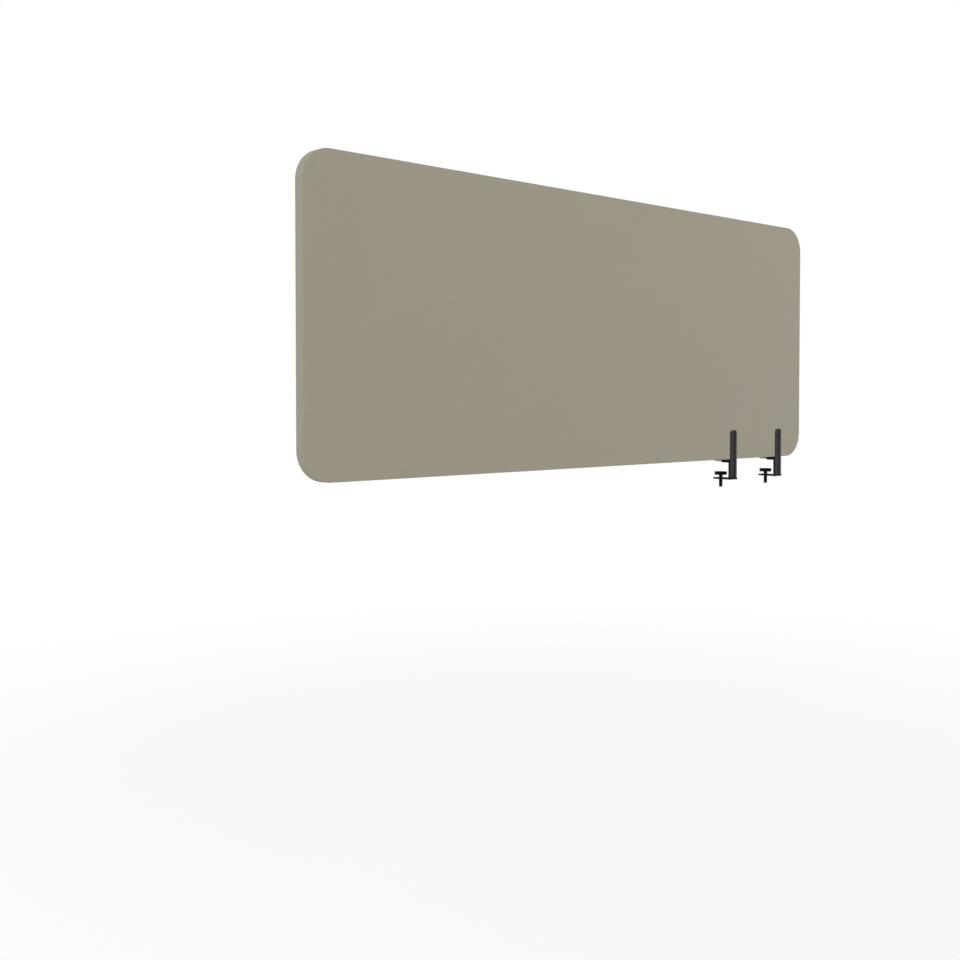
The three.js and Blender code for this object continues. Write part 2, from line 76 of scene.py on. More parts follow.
class Slot(Enum):
    """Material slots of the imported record."""

    CLOTH = "cover_cloth"
    FOAM = "foam"
    WOOL = "acoustic_wool"
    TIMBER = "timber"
    COATED = "black_coated_steel"
    BLACKENED = "blackened_steel"
    PLASTIC = "black_plastic"
    BLACK_RUBBER = "black_rubber"
    PALE_RUBBER = "pale_rubber"
    SPRING = "spring_steel"


class Place(Enum):
    """The two clamps, by where they sit along the panel."""

    OUTER = "outer"
    INNER = "inner"


class Face(Enum):
    """The two faces of the panel, each with its foam sheet and its cloth cover."""

    FRONT = "front"
    REAR = "rear"


class Height(Enum):
    """The two wood screws of a clamp's bar."""

    LOW = "low"
    HIGH = "high"


class Plate(Enum):
    """The two flat plates of a clamp over the board."""

    UPPER_JAW = "upper_jaw"
    JAW_LINER = "jaw_liner"


class Side(Enum):
    """What a stretch of a cover's outline borders on."""

    EDGE = "panel edge"
    POCKET = "clamp bar pocket"


class Run(Enum):
    """How the weave is laid over a piece of cloth."""

    FLAT = "straight across the panel"
    AROUND = "along the strip"


class Grain(Enum):
    """Which way the grain of a timber member runs."""

    ALONG = "x"
    UPRIGHT = "z"


class Coat(Enum):
    """How the black coat lies on a clamp's steel."""

    SMOOTH = "smooth, on the bar, the upper jaw and the stop block"
    MATT = "matt, on the lower jaw"


Look = Grain | Coat


# Meshes


@dataclass(frozen=True)
class Corner:
    """A right-angled corner of an outline at (a, b), rounded with its own radius."""

    a: float
    b: float
    radius: float = 0.0
    steps: int = 4


@dataclass(frozen=True)
class Outline:
    """An anticlockwise outline with right-angled, rounded corners."""

    corners: tuple[Corner, ...]

    def ring(self, insets: Sequence[float], levels: Sequence[float]) -> Ring:
        """Moves the outline inwards, each side by its own inset and to its own level.

        Args:
            insets: How far each side moves in, side i running from corner i to the next.
            levels: The level of each side.

        Returns:
            The points of the moved outline as (a, b, level).
        """
        count = len(self.corners)
        points: Ring = []
        for i, corner in enumerate(self.corners):
            here = Vector((corner.a, corner.b))
            before = self.corners[i - 1]
            after = self.corners[(i + 1) % count]
            into = (here - Vector((before.a, before.b))).normalized()
            out = (Vector((after.a, after.b)) - here).normalized()
            here += _left(into) * insets[i - 1] + _left(out) * insets[i]
            turn = 1.0 if into.cross(out) > 0 else -1.0
            mean_inset = (insets[i - 1] + insets[i]) / 2
            radius = max(corner.radius - turn * mean_inset, 0.0)
            centre = here + (out - into) * radius
            for k in range(corner.steps + 1):
                share = k / corner.steps
                angle = share * QUARTER_TURN
                spot = centre + radius * (into * math.sin(angle) - out * math.cos(angle))
                level = levels[i - 1] * (1 - share) + levels[i] * share
                points.append((spot.x, spot.y, level))
        return points

    def even_ring(self, inset: float, level: float) -> Ring:
        """Moves every side in by the same inset, to one level."""
        count = len(self.corners)
        return self.ring([inset] * count, [level] * count)


def _left(direction: Vector) -> Vector:
    """Turns a direction a quarter turn anticlockwise."""
    return Vector((-direction.y, direction.x))


def rounded_box(low: Point2, high: Point2, radii: Sequence[float], steps: int) -> Outline:
    """Makes the outline of a box with rounded corners.

    Args:
        low: Its lowest corner.
        high: Its highest corner.
        radii: Corner radii in the order low-low, high-low, high-high, low-high.
        steps: Steps of each rounded corner.

    Returns:
        The outline.
    """
    places = ((low[0], low[1]), (high[0], low[1]), (high[0], high[1]), (low[0], high[1]))
    return Outline(tuple(Corner(a, b, radius, steps) for (a, b), radius in zip(places, radii)))


def square_box(low: Point2, high: Point2) -> Outline:
    """Makes the outline of a box with square corners."""
    return rounded_box(low, high, [0.0] * 4, 1)


def rounded_arris(radius: float, steps: int) -> list[Point2]:
    """Rounds an arris over: pairs of inset and drop from a face out to the side next to it."""
    turns = [QUARTER_TURN * k / steps for k in range(steps + 1)]
    return [(radius * (1 - math.sin(turn)), radius * (1 - math.cos(turn))) for turn in turns]


def softened(profile: Sequence[Point3], steps: int = 4) -> list[Point2]:
    """Rounds the corners of a turned piece's profile.

    Args:
        profile: Points as (radius, height, how far back from the corner its curve starts).
        steps: Steps of each curve.

    Returns:
        Points as (radius, height).
    """
    points: list[Point2] = []
    for i, (radius, height, back) in enumerate(profile):
        here = Vector((radius, height))
        if not back:
            points.append((radius, height))
            continue
        before = Vector(profile[i - 1][:2])
        after = Vector(profile[(i + 1) % len(profile)][:2])
        start = here + (before - here).normalized() * back
        end = here + (after - here).normalized() * back
        for k in range(steps + 1):
            t = k / steps
            spot = start * (1 - t) ** 2 + here * (2 * t * (1 - t)) + end * t**2
            points.append((spot.x, spot.y))
    return points


def circle(radius: float, height: float, count: int) -> Ring:
    """Makes one ring of a turned piece about the Z axis."""
    turns = [FULL_TURN * k / count for k in range(count)]
    return [(radius * math.cos(turn), radius * math.sin(turn), height) for turn in turns]


def loft(
    name: str,
    rings: Sequence[Ring],
    place: Placing,
    closed: bool = False,
    run: Run | None = None,
    crisp_degrees: float = CRISP_DEGREES,
) -> Piece:
    """Skins a run of rings that have equally many points.

    Args:
        name: Name of the new piece.
        rings: The rings, each a closed run of points.
        place: Takes a ring's point to the part's frame.
        closed: Whether the last ring joins the first one; otherwise both ends are capped.
        run: How a weave is laid over the piece, for cloth alone.
        crisp_degrees: Edges that turn more than this stay crisp.

    Returns:
        The new piece.
    """
    bm = bmesh.new()
    verts = [[bm.verts.new(place(point)) for point in ring] for ring in rings]
    lengths = _lengths(rings[0])
    across = _lengths([ring[0] for ring in rings])
    weave = bm.loops.layers.uv.new(CLOTH_MAP) if run else None
    count = len(rings[0])
    for r in range(len(rings) if closed else len(rings) - 1):
        there = (r + 1) % len(rings)
        for k in range(count):
            k2 = (k + 1) % count
            face = bm.faces.new((verts[r][k], verts[r][k2], verts[there][k2], verts[there][k]))
            if run is Run.AROUND:
                cells = ((k, r), (k + 1, r), (k + 1, r + 1), (k, r + 1))
                for loop, (along, row) in zip(face.loops, cells):
                    loop[weave].uv = (lengths[along], across[row])
    if not closed:
        bm.faces.new(tuple(reversed(verts[0])))
        bm.faces.new(tuple(verts[-1]))
    if run is Run.FLAT:
        for face in bm.faces:
            for loop in face.loops:
                loop[weave].uv = (loop.vert.co.x, loop.vert.co.z)
    return _piece_of(name, bm, crisp_degrees)


def _lengths(points: Sequence[Point3]) -> list[float]:
    """Adds up the distances along a closed run of points.

    Args:
        points: The points.

    Returns:
        The distance from the first point to each one, and last the whole length.
    """
    sums = [0.0]
    for i, point in enumerate(points):
        step = Vector(points[(i + 1) % len(points)]) - Vector(point)
        sums.append(sums[-1] + step.length)
    return sums


def _piece_of(name: str, bm: bmesh.types.BMesh, crisp_degrees: float = CRISP_DEGREES) -> Piece:
    """Makes a smooth-shaded piece of a mesh, welded and with its faces outwards.

    Args:
        name: Name of the new piece.
        bm: The mesh, which is used up.
        crisp_degrees: Edges that turn more than this stay crisp.

    Returns:
        The new piece.
    """
    bmesh.ops.remove_doubles(bm, verts=bm.verts, dist=SAME_PLACE)
    bmesh.ops.recalc_face_normals(bm, faces=bm.faces)
    mesh = bpy.data.meshes.new(name)
    bm.to_mesh(mesh)
    bm.free()
    mesh.shade_smooth()
    mesh.set_sharp_from_angle(angle=math.radians(crisp_degrees))
    piece = bpy.data.objects.new(name, mesh)
    bpy.context.scene.collection.objects.link(piece)
    return piece


def carve(piece: Piece, cutters: Iterable[Piece]) -> None:
    """Cuts the cutters out of a piece and deletes them.

    Args:
        piece: The piece.
        cutters: What is cut out of it, one after the other.
    """
    for cutter in cutters:
        step = piece.modifiers.new("cut", "BOOLEAN")
        step.operation = "DIFFERENCE"
        step.solver = "EXACT"
        step.object = cutter
        bpy.context.view_layer.update()
        seen = piece.evaluated_get(bpy.context.evaluated_depsgraph_get())
        mesh = bpy.data.meshes.new_from_object(seen)
        piece.modifiers.clear()
        piece.data = mesh
        bpy.data.objects.remove(cutter)
    piece.data.name = piece.name
    piece.data.set_sharp_from_angle(angle=math.radians(CRISP_DEGREES))


def in_face(near: float) -> Placing:
    """Lays outlines in X and Z, with their levels counted back from the near face."""
    return lambda point: (point[0], near + point[2], point[1])


def in_plan(x: float = 0.0) -> Placing:
    """Lays outlines in X and Y about a clamp's middle, with their levels upwards."""
    return lambda point: (x + point[0], point[1], point[2])


def along_y(x: float, z: float) -> Placing:
    """Turns a piece made about the Z axis so that its axis runs along +Y."""
    return lambda point: (x - point[0], point[2], z + point[1])


def about(x: float, y: float) -> Placing:
    """Moves a piece made about the Z axis to an upright axis of its own."""
    return lambda point: (x + point[0], y + point[1], point[2])


def slab(
    name: str, outline: Outline, low: float, high: float, arris: float, place: Placing
) -> Piece:
    """Makes a flat piece with rounded arrises between two levels.

    Another ring on each face, twice the arris in, keeps the face flat.

    Args:
        name: Name of the new piece.
        outline: Its outline.
        low: Level of its low face.
        high: Level of its high face.
        arris: Radius of its arrises.
        place: Takes a point of the piece to the part's frame.

    Returns:
        The new piece.
    """
    steps = rounded_arris(arris, SLAB_ARRIS_STEPS)
    rings = [outline.even_ring(2 * arris, low)]
    rings += [outline.even_ring(inset, low + drop) for inset, drop in steps]
    rings += [outline.even_ring(inset, high - drop) for inset, drop in reversed(steps)]
    rings.append(outline.even_ring(2 * arris, high))
    return loft(name, rings, place)


# Finishes


class Wiring:
    """One node tree, with short ways to add and join its nodes."""

    def __init__(self, tree: bpy.types.NodeTree) -> None:
        """Empties the tree."""
        self.tree = tree
        tree.nodes.clear()

    def add(self, kind: str, **settings: object) -> bpy.types.Node:
        """Adds a node.

        Args:
            kind: The node's type.
            settings: Any of its settings, by name.

        Returns:
            The node.
        """
        node = self.tree.nodes.new(kind)
        for name, value in settings.items():
            setattr(node, name, value)
        return node

    def join(self, source: Socket, target: Socket) -> None:
        """Joins an output to an input."""
        self.tree.links.new(source, target)

    def feed(self, value: Feed, target: Socket) -> None:
        """Gives an input its value.

        Args:
            value: An output to join, or else a number or a run of numbers.
            target: The input.
        """
        if isinstance(value, Socket):
            self.join(value, target)
        else:
            target.default_value = value

    def math(self, operation: str, *terms: Feed) -> Socket:
        """Adds a Math node.

        Args:
            operation: The node's operation.
            terms: Its inputs, each a number or an output to join.

        Returns:
            The node's output.
        """
        node = self.add("ShaderNodeMath", operation=operation)
        for term, target in zip(terms, node.inputs):
            self.feed(term, target)
        return node.outputs[0]

    def compass(self, direction: Socket, levels: Sequence[Point2]) -> Socket:
        """Looks a level up by the way a direction points in plan.

        Args:
            direction: The direction.
            levels: Pairs of degrees from -Y towards +X, rising from -180 to 180, and a level.

        Returns:
            The level there, even between two pairs.
        """
        split = self.add("ShaderNodeSeparateXYZ")
        self.join(direction, split.inputs[0])
        from_near = self.math("MULTIPLY", split.outputs[1], -1.0)
        turn = self.math("ARCTAN2", split.outputs[0], from_near)
        ramp = self.add("ShaderNodeValToRGB")
        stops = ramp.color_ramp.elements
        while len(stops) < len(levels):
            stops.new(0.5)
        for stop, (degrees, level) in zip(stops, levels):
            stop.position = degrees / 360.0 + 0.5
            stop.color = (level, level, level, 1.0)
        self.join(self.math("MULTIPLY_ADD", turn, 1.0 / FULL_TURN, 0.5), ramp.inputs["Fac"])
        return ramp.outputs["Color"]


class Shader(Wiring):
    """One material with its Principled shader."""

    def __init__(self, name: str) -> None:
        """Starts an empty material.

        Args:
            name: Its name.
        """
        self.material = bpy.data.materials.new(name)
        self.material.use_nodes = True
        super().__init__(self.material.node_tree)
        self.surface = self.add("ShaderNodeBsdfPrincipled")
        self.out = self.add("ShaderNodeOutputMaterial")
        self.join(self.surface.outputs["BSDF"], self.out.inputs["Surface"])
        self.places = self.add("ShaderNodeTexCoord").outputs["Object"]

    def set(self, **values: object) -> None:
        """Sets inputs of the surface.

        Args:
            values: Their values, by name in lower case with underscores.
        """
        by_name = {socket.name.lower().replace(" ", "_"): socket for socket in self.surface.inputs}
        for name, value in values.items():
            by_name[name].default_value = value

    def stretched(self, scale: Point3, source: Socket | None = None) -> Socket:
        """Scales places, so that a pattern made with them is drawn out or pressed together.

        Args:
            scale: The scale along each axis.
            source: The places; otherwise those on the piece.

        Returns:
            The scaled places.
        """
        node = self.add("ShaderNodeMapping")
        node.inputs["Scale"].default_value = scale
        self.join(source or self.places, node.inputs["Vector"])
        return node.outputs[0]

    def noise(self, size: float, detail: float = 2.0, at: Socket | None = None) -> Socket:
        """Adds a noise.

        Args:
            size: How far its blotches are across, in metres.
            detail: How many finer layers it has.
            at: The places it is laid over; otherwise those on the piece.

        Returns:
            Its level from 0 to 1.
        """
        node = self.add("ShaderNodeTexNoise")
        node.inputs["Scale"].default_value = 1.0 / size
        node.inputs["Detail"].default_value = detail
        self.join(at or self.places, node.inputs["Vector"])
        return node.outputs["Fac"]

    def between(self, source: Socket, low: float, high: float) -> Socket:
        """Maps a value from 0 to 1 onto a span.

        Args:
            source: The value.
            low: What 0 becomes.
            high: What 1 becomes.

        Returns:
            The mapped value.
        """
        node = self.add("ShaderNodeMapRange")
        node.inputs["To Min"].default_value = low
        node.inputs["To Max"].default_value = high
        self.join(source, node.inputs["Value"])
        return node.outputs["Result"]

    def near_one(self, source: Socket, spread: float) -> Socket:
        """Maps a value from 0 to 1 onto a factor that strays from 1 by up to the spread."""
        return self.between(source, 1.0 - spread, 1.0 + spread)

    def stepped(self, source: Socket, span: Point2) -> bpy.types.Node:
        """Adds a soft step.

        Args:
            source: The value that it depends on.
            span: Where the step starts and ends.

        Returns:
            Its node, which goes from 0 to 1 unless it is set otherwise.
        """
        node = self.add("ShaderNodeMapRange", interpolation_type="SMOOTHSTEP")
        node.inputs["From Min"].default_value, node.inputs["From Max"].default_value = span
        self.join(source, node.inputs["Value"])
        return node

    def shaded(self, colour: Feed, factor: Socket) -> Socket:
        """Multiplies a colour by a factor.

        Args:
            colour: The colour, as numbers or as an output.
            factor: The factor.

        Returns:
            The shaded colour.
        """
        node = self.add("ShaderNodeVectorMath", operation="SCALE")
        self.feed(colour, node.inputs[0])
        self.join(factor, node.inputs["Scale"])
        return node.outputs[0]

    def mixed(self, factor: Socket, first: Feed, second: Feed) -> Socket:
        """Mixes two colours, each given as numbers or as an output.

        Args:
            factor: How much of the second colour there is.
            first: The first colour.
            second: The second colour.

        Returns:
            The mixed colour.
        """
        node = self.add("ShaderNodeMix", data_type="RGBA")
        for value, name in ((first, "A_Color"), (second, "B_Color")):
            target = next(s for s in node.inputs if s.identifier == name)
            self.feed(value if isinstance(value, Socket) else (*value, 1.0), target)
        self.join(factor, node.inputs["Factor"])
        return next(s for s in node.outputs if s.identifier == "Result_Color")

    def colour(self, source: Socket) -> None:
        """Takes the surface's colour from a node."""
        self.join(source, self.surface.inputs["Base Color"])

    def roughness(self, source: Socket) -> None:
        """Takes the surface's roughness from a node."""
        self.join(source, self.surface.inputs["Roughness"])

    def bump(self, height: Socket, depth: float) -> None:
        """Raises the surface, on top of what has raised it before.

        Args:
            height: A height from 0 to 1.
            depth: What a height of 1 stands for, in metres.
        """
        node = self.add("ShaderNodeBump")
        node.inputs["Distance"].default_value = depth
        node.inputs["Strength"].default_value = 1.0
        self.join(height, node.inputs["Height"])
        before = self.surface.inputs["Normal"]
        if before.is_linked:
            self.join(before.links[0].from_socket, node.inputs["Normal"])
        self.join(node.outputs["Normal"], before)


@dataclass(frozen=True)
class ClothFinish:
    """A fine plain weave of matt wool-like yarn, with slightly uneven threads."""

    colour: Point3 = (0.345, 0.317, 0.246)
    thread: float = 0.0007
    relief: float = 0.00009
    uneven: float = 0.07
    yarn_run: float = 18.0
    # How far painted shade darkens the furrows between the threads.
    furrow_painted_shade: float = 0.16
    cloud: float = 0.16
    cloud_shade: float = 0.015
    fleck: float = 0.004
    fleck_shade: float = 0.035
    fuzz: float = 0.0003
    fuzz_relief: float = 0.00003
    roughness: float = 0.92
    specular: float = 0.25
    sheen: float = 0.12
    sheen_roughness: float = 0.55
    sheen_tint: Point3 = (0.86, 0.83, 0.76)

    def build(self) -> bpy.types.Material:
        """Builds the material.

        Returns:
            The material.
        """
        s = Shader("woven_cloth")
        s.set(roughness=self.roughness, specular_ior_level=self.specular)
        s.set(sheen_weight=self.sheen, sheen_roughness=self.sheen_roughness,
              sheen_tint=(*self.sheen_tint, 1.0))
        run = s.add("ShaderNodeUVMap", uv_map=CLOTH_MAP).outputs["UV"]
        split = s.add("ShaderNodeSeparateXYZ")
        s.join(run, split.inputs[0])
        waves = [
            s.math("SINE", s.math("MULTIPLY", axis, math.pi / self.thread))
            for axis in (split.outputs[0], split.outputs[1])
        ]
        # The warp lies on top where both waves agree, and elsewhere the threads share the height.
        over = s.between(s.math("MULTIPLY", *waves), 0.5, 1.0)
        under = s.math("SUBTRACT", 1.0, over)
        warp, weft = (s.math("ABSOLUTE", wave) for wave in waves)
        height = s.math("ADD", s.math("MULTIPLY", warp, over), s.math("MULTIPLY", weft, under))
        yarns = [
            s.noise(self.thread * self.yarn_run, detail=1.0, at=s.stretched(scale, run))
            for scale in ((self.yarn_run, 1.0, 1.0), (1.0, self.yarn_run, 1.0))
        ]
        yarn = s.math("MULTIPLY", s.math("ADD", *yarns), 0.5)
        uneven = s.near_one(yarn, self.uneven)
        flecked = s.math("MULTIPLY", uneven, s.near_one(s.noise(self.fleck), self.fleck_shade))
        cloud = s.noise(self.cloud, detail=3.0)
        clouded = s.math("MULTIPLY", flecked, s.near_one(cloud, self.cloud_shade))
        # Painted shade: the colour darkens where the threads dip, in the furrows between them.
        painted_furrow_shade = s.between(height, 1.0 - self.furrow_painted_shade, 1.0)
        s.colour(s.shaded(self.colour, s.math("MULTIPLY", clouded, painted_furrow_shade)))
        s.bump(height, self.relief)
        s.bump(s.noise(self.fuzz), self.fuzz_relief)
        return s.material


@dataclass(frozen=True)
class SoftFinish:
    """Open-celled foam or pressed fibre, seen only when the panel is opened."""

    name: str
    colour: Point3
    cell: float
    relief: float
    scale: Point3 = (1.0, 1.0, 1.0)
    cell_shades: Point2 = (1.04, 0.86)
    cells_per_cloud: float = 12.0
    cloud_shade: float = 0.08
    roughness: float = 0.95
    specular: float = 0.2
    sheen: float = 0.1

    def build(self) -> bpy.types.Material:
        """Builds the material.

        Returns:
            The material.
        """
        s = Shader(self.name)
        s.set(roughness=self.roughness, specular_ior_level=self.specular, sheen_weight=self.sheen)
        at = s.stretched(self.scale)
        cells = s.add("ShaderNodeTexVoronoi", feature="F1")
        cells.inputs["Scale"].default_value = 1.0 / self.cell
        s.join(at, cells.inputs["Vector"])
        depth = cells.outputs["Distance"]
        cloud = s.noise(self.cells_per_cloud * self.cell, detail=3.0, at=at)
        clouded = s.near_one(cloud, self.cloud_shade)
        tone = s.math("MULTIPLY", s.between(depth, *self.cell_shades), clouded)
        s.colour(s.shaded(self.colour, tone))
        s.bump(depth, self.relief)
        return s.material


@dataclass(frozen=True)
class TimberFinish:
    """Planed softwood, with its rings drawn out along the grain.

    A wave pattern of scale 1 has its bands about wave_spacing apart, in metres.
    """

    grain: Grain
    pale: Point3 = (0.63, 0.44, 0.24)
    dark: Point3 = (0.43, 0.26, 0.12)
    dark_shares: Point2 = (0.1, 0.75)
    ring: float = 0.005
    ring_waver: float = 5.0
    waver_detail: float = 3.0
    wave_spacing: float = 0.3
    drawn_out: float = 14.0
    fibre: float = 0.0006
    fibre_shades: Point2 = (0.9, 1.06)
    fibre_relief: float = 0.00004
    roughnesses: Point2 = (0.55, 0.7)
    specular: float = 0.3

    def build(self) -> bpy.types.Material:
        """Builds the material.

        Returns:
            The material.
        """
        s = Shader(f"planed_softwood_{self.grain.value}")
        s.set(specular_ior_level=self.specular)
        along = 1.0 / self.drawn_out
        at = s.stretched((along, 1.0, 1.0) if self.grain is Grain.ALONG else (1.0, 1.0, along))
        wave = s.add("ShaderNodeTexWave", bands_direction="DIAGONAL")
        wave.inputs["Scale"].default_value = self.wave_spacing / self.ring
        wave.inputs["Distortion"].default_value = self.ring_waver
        wave.inputs["Detail"].default_value = self.waver_detail
        s.join(at, wave.inputs["Vector"])
        rings = wave.outputs["Fac"]
        fibre = s.noise(self.fibre, at=at)
        figure = s.mixed(s.between(rings, *self.dark_shares), self.pale, self.dark)
        s.colour(s.shaded(figure, s.between(fibre, *self.fibre_shades)))
        s.roughness(s.between(rings, *self.roughnesses))
        s.bump(fibre, self.fibre_relief)
        return s.material


@dataclass(frozen=True)
class CoatFinish:
    """A hard black finish on metal or plastic, with fine relief, and worn along its edges."""

    name: str
    colour: Point3
    worn: Point3
    roughness: float
    peel: float
    relief: float
    metallic: float = 0.0
    specular: float = 0.5
    wear: float = 0.35
    worn_gloss: float = 0.1
    worn_bends: Point2 = (0.53, 0.62)
    patch: float = 0.02
    patch_shade: float = 0.15
    scuff: float = 0.0025
    least_scuffed: float = 0.2

    def build(self) -> bpy.types.Material:
        """Builds the material.

        Returns:
            The material.
        """
        s = Shader(self.name)
        s.set(metallic=self.metallic, specular_ior_level=self.specular)
        patches = s.noise(self.patch, detail=4.0)
        scuffs = s.between(s.noise(self.scuff, detail=3.0), self.least_scuffed, 1.0)
        bends = s.add("ShaderNodeNewGeometry").outputs["Pointiness"]
        rubbed = s.math("MULTIPLY", s.stepped(bends, self.worn_bends).outputs["Result"], scuffs)
        wear = s.math("MULTIPLY", rubbed, self.wear)
        toned = s.shaded(self.colour, s.near_one(patches, self.patch_shade))
        s.colour(s.mixed(wear, toned, self.worn))
        smoothest = self.roughness * (1.0 - self.patch_shade)
        roughest = self.roughness * (1.0 + self.patch_shade)
        plain = s.between(patches, smoothest, roughest)
        s.roughness(s.math("ADD", plain, s.math("MULTIPLY", wear, -self.worn_gloss)))
        s.bump(s.noise(self.peel), self.relief)
        return s.material


@dataclass(frozen=True)
class RubberFinish:
    """Soft rubber with a dusty, very fine grain."""

    name: str
    colour: Point3
    roughness: float = 0.8
    clear: float = 0.0
    clear_depth: float = 0.002
    specular: float = 0.35
    dust: float = 0.006
    dust_shades: Point2 = (0.85, 1.2)
    smoother: float = 0.06
    rougher: float = 0.08
    grain: float = 0.0004
    relief: float = 0.00002

    def build(self) -> bpy.types.Material:
        """Builds the material.

        Returns:
            The material.
        """
        s = Shader(self.name)
        s.set(specular_ior_level=self.specular)
        s.set(subsurface_weight=self.clear, subsurface_scale=self.clear_depth)
        dust = s.noise(self.dust, detail=4.0)
        s.colour(s.shaded(self.colour, s.between(dust, *self.dust_shades)))
        s.roughness(s.between(dust, self.roughness - self.smoother, self.roughness + self.rougher))
        s.bump(s.noise(self.grain), self.relief)
        return s.material


@dataclass
class Finishes:
    """Every finish of the screen, built once and handed out by slot or by look."""

    built: dict[Slot | Look, bpy.types.Material] = field(init=False, default_factory=dict)

    def __post_init__(self) -> None:
        """Builds the materials."""
        makers = {
            Slot.CLOTH: ClothFinish(),
            Slot.FOAM: SoftFinish("pale_foam", (0.69, 0.66, 0.57), cell=0.0012, relief=0.0003),
            Slot.WOOL: SoftFinish(
                "pressed_wool", (0.27, 0.28, 0.22), cell=0.003, relief=0.0006,
                scale=(0.25, 1.0, 1.0),
            ),
            Coat.SMOOTH: CoatFinish(
                "black_powder_coat", (0.004, 0.004, 0.0043), (0.05, 0.05, 0.05),
                roughness=0.17, peel=0.0007, relief=0.000004, specular=0.7,
            ),
            Coat.MATT: CoatFinish(
                "matt_black_coat", (0.003, 0.003, 0.0032), (0.04, 0.04, 0.04),
                roughness=0.4, peel=0.0007, relief=0.000006, specular=0.12,
            ),
            Slot.BLACKENED: CoatFinish(
                "blackened_steel", (0.0048, 0.0048, 0.0052), (0.08, 0.08, 0.08),
                roughness=0.22, peel=0.0004, relief=0.000004,
            ),
            Slot.PLASTIC: CoatFinish(
                "black_moulded_plastic", (0.003, 0.003, 0.0032), (0.02, 0.02, 0.02),
                roughness=0.45, peel=0.0003, relief=0.00002, specular=0.15, wear=0.2,
            ),
            Slot.BLACK_RUBBER: RubberFinish("black_rubber", (0.004, 0.004, 0.004), specular=0.2),
            Slot.PALE_RUBBER: RubberFinish(
                "pale_rubber", (0.56, 0.57, 0.55), roughness=0.5, clear=0.3
            ),
            Slot.SPRING: CoatFinish(
                "spring_steel", (0.3, 0.3, 0.31), (0.5, 0.5, 0.5),
                roughness=0.3, peel=0.0005, relief=0.000005, metallic=1.0,
            ),
            Grain.ALONG: TimberFinish(Grain.ALONG),
            Grain.UPRIGHT: TimberFinish(Grain.UPRIGHT),
        }
        for key, maker in makers.items():
            self.built[key] = maker.build()

    def dress(self, piece: Piece, slot: Slot, look: Look | None = None) -> None:
        """Gives a piece the material of its slot, or of its look where one is given.

        Args:
            piece: The piece.
            slot: Its slot in the record.
            look: The look of the slot's material, where there is more than one.
        """
        piece.data.materials.clear()
        piece.data.materials.append(self.built[look or slot])


@dataclass
class SubAssembly:
    """What every sub-assembly shares: the finishes, and how a piece joins the part."""

    finishes: Finishes
    pieces: list[Piece] = field(init=False, default_factory=list)

    def build(self) -> None:
        """Builds and dresses the pieces, each kind of sub-assembly in its own way."""
        raise NotImplementedError

    def settle(
        self, piece: Piece, slot: Slot, body: str, *nodes: str, look: Look | None = None
    ) -> None:
        """Dresses a piece, lets it ride on its body and stand for its nodes.

        Args:
            piece: The piece, in place.
            slot: Its slot in the record.
            body: The body that it moves with.
            nodes: The nodes that it stands for.
            look: The look of the slot's material, where there is more than one.
        """
        self.finishes.dress(piece, slot, look)
        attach(piece, body)
        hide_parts(*nodes)
        self.pieces.append(piece)


# Panel


@dataclass(frozen=True, order=True)
class Pocket:
    """The room in the panel for one clamp's bar, with a small gap round the bar."""

    left: float
    right: float
    top: float
    back: float

    @classmethod
    def of(cls, clamp: Place) -> "Pocket":
        """Measures the pocket of one clamp's bar."""
        low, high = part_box(f"spine_bar_{clamp.value}")
        return cls(low.x - POCKET_GAP, high.x + POCKET_GAP, high.z + POCKET_GAP, high.y)

    def cutter(self, foot: float, top: float, near: float, depth: float) -> Piece:
        """Makes the block that the pocket takes out of a sheet.

        Args:
            foot: Where the block starts in Z.
            top: Where it ends in Z.
            near: The sheet's near face in Y.
            depth: How far the block goes in behind that face.

        Returns:
            The block.
        """
        outline = square_box((self.left, foot), (self.right, top))
        rings = [outline.even_ring(0.0, level) for level in (-POCKET_OVERRUN, depth)]
        return loft("pocket", rings, in_face(near))


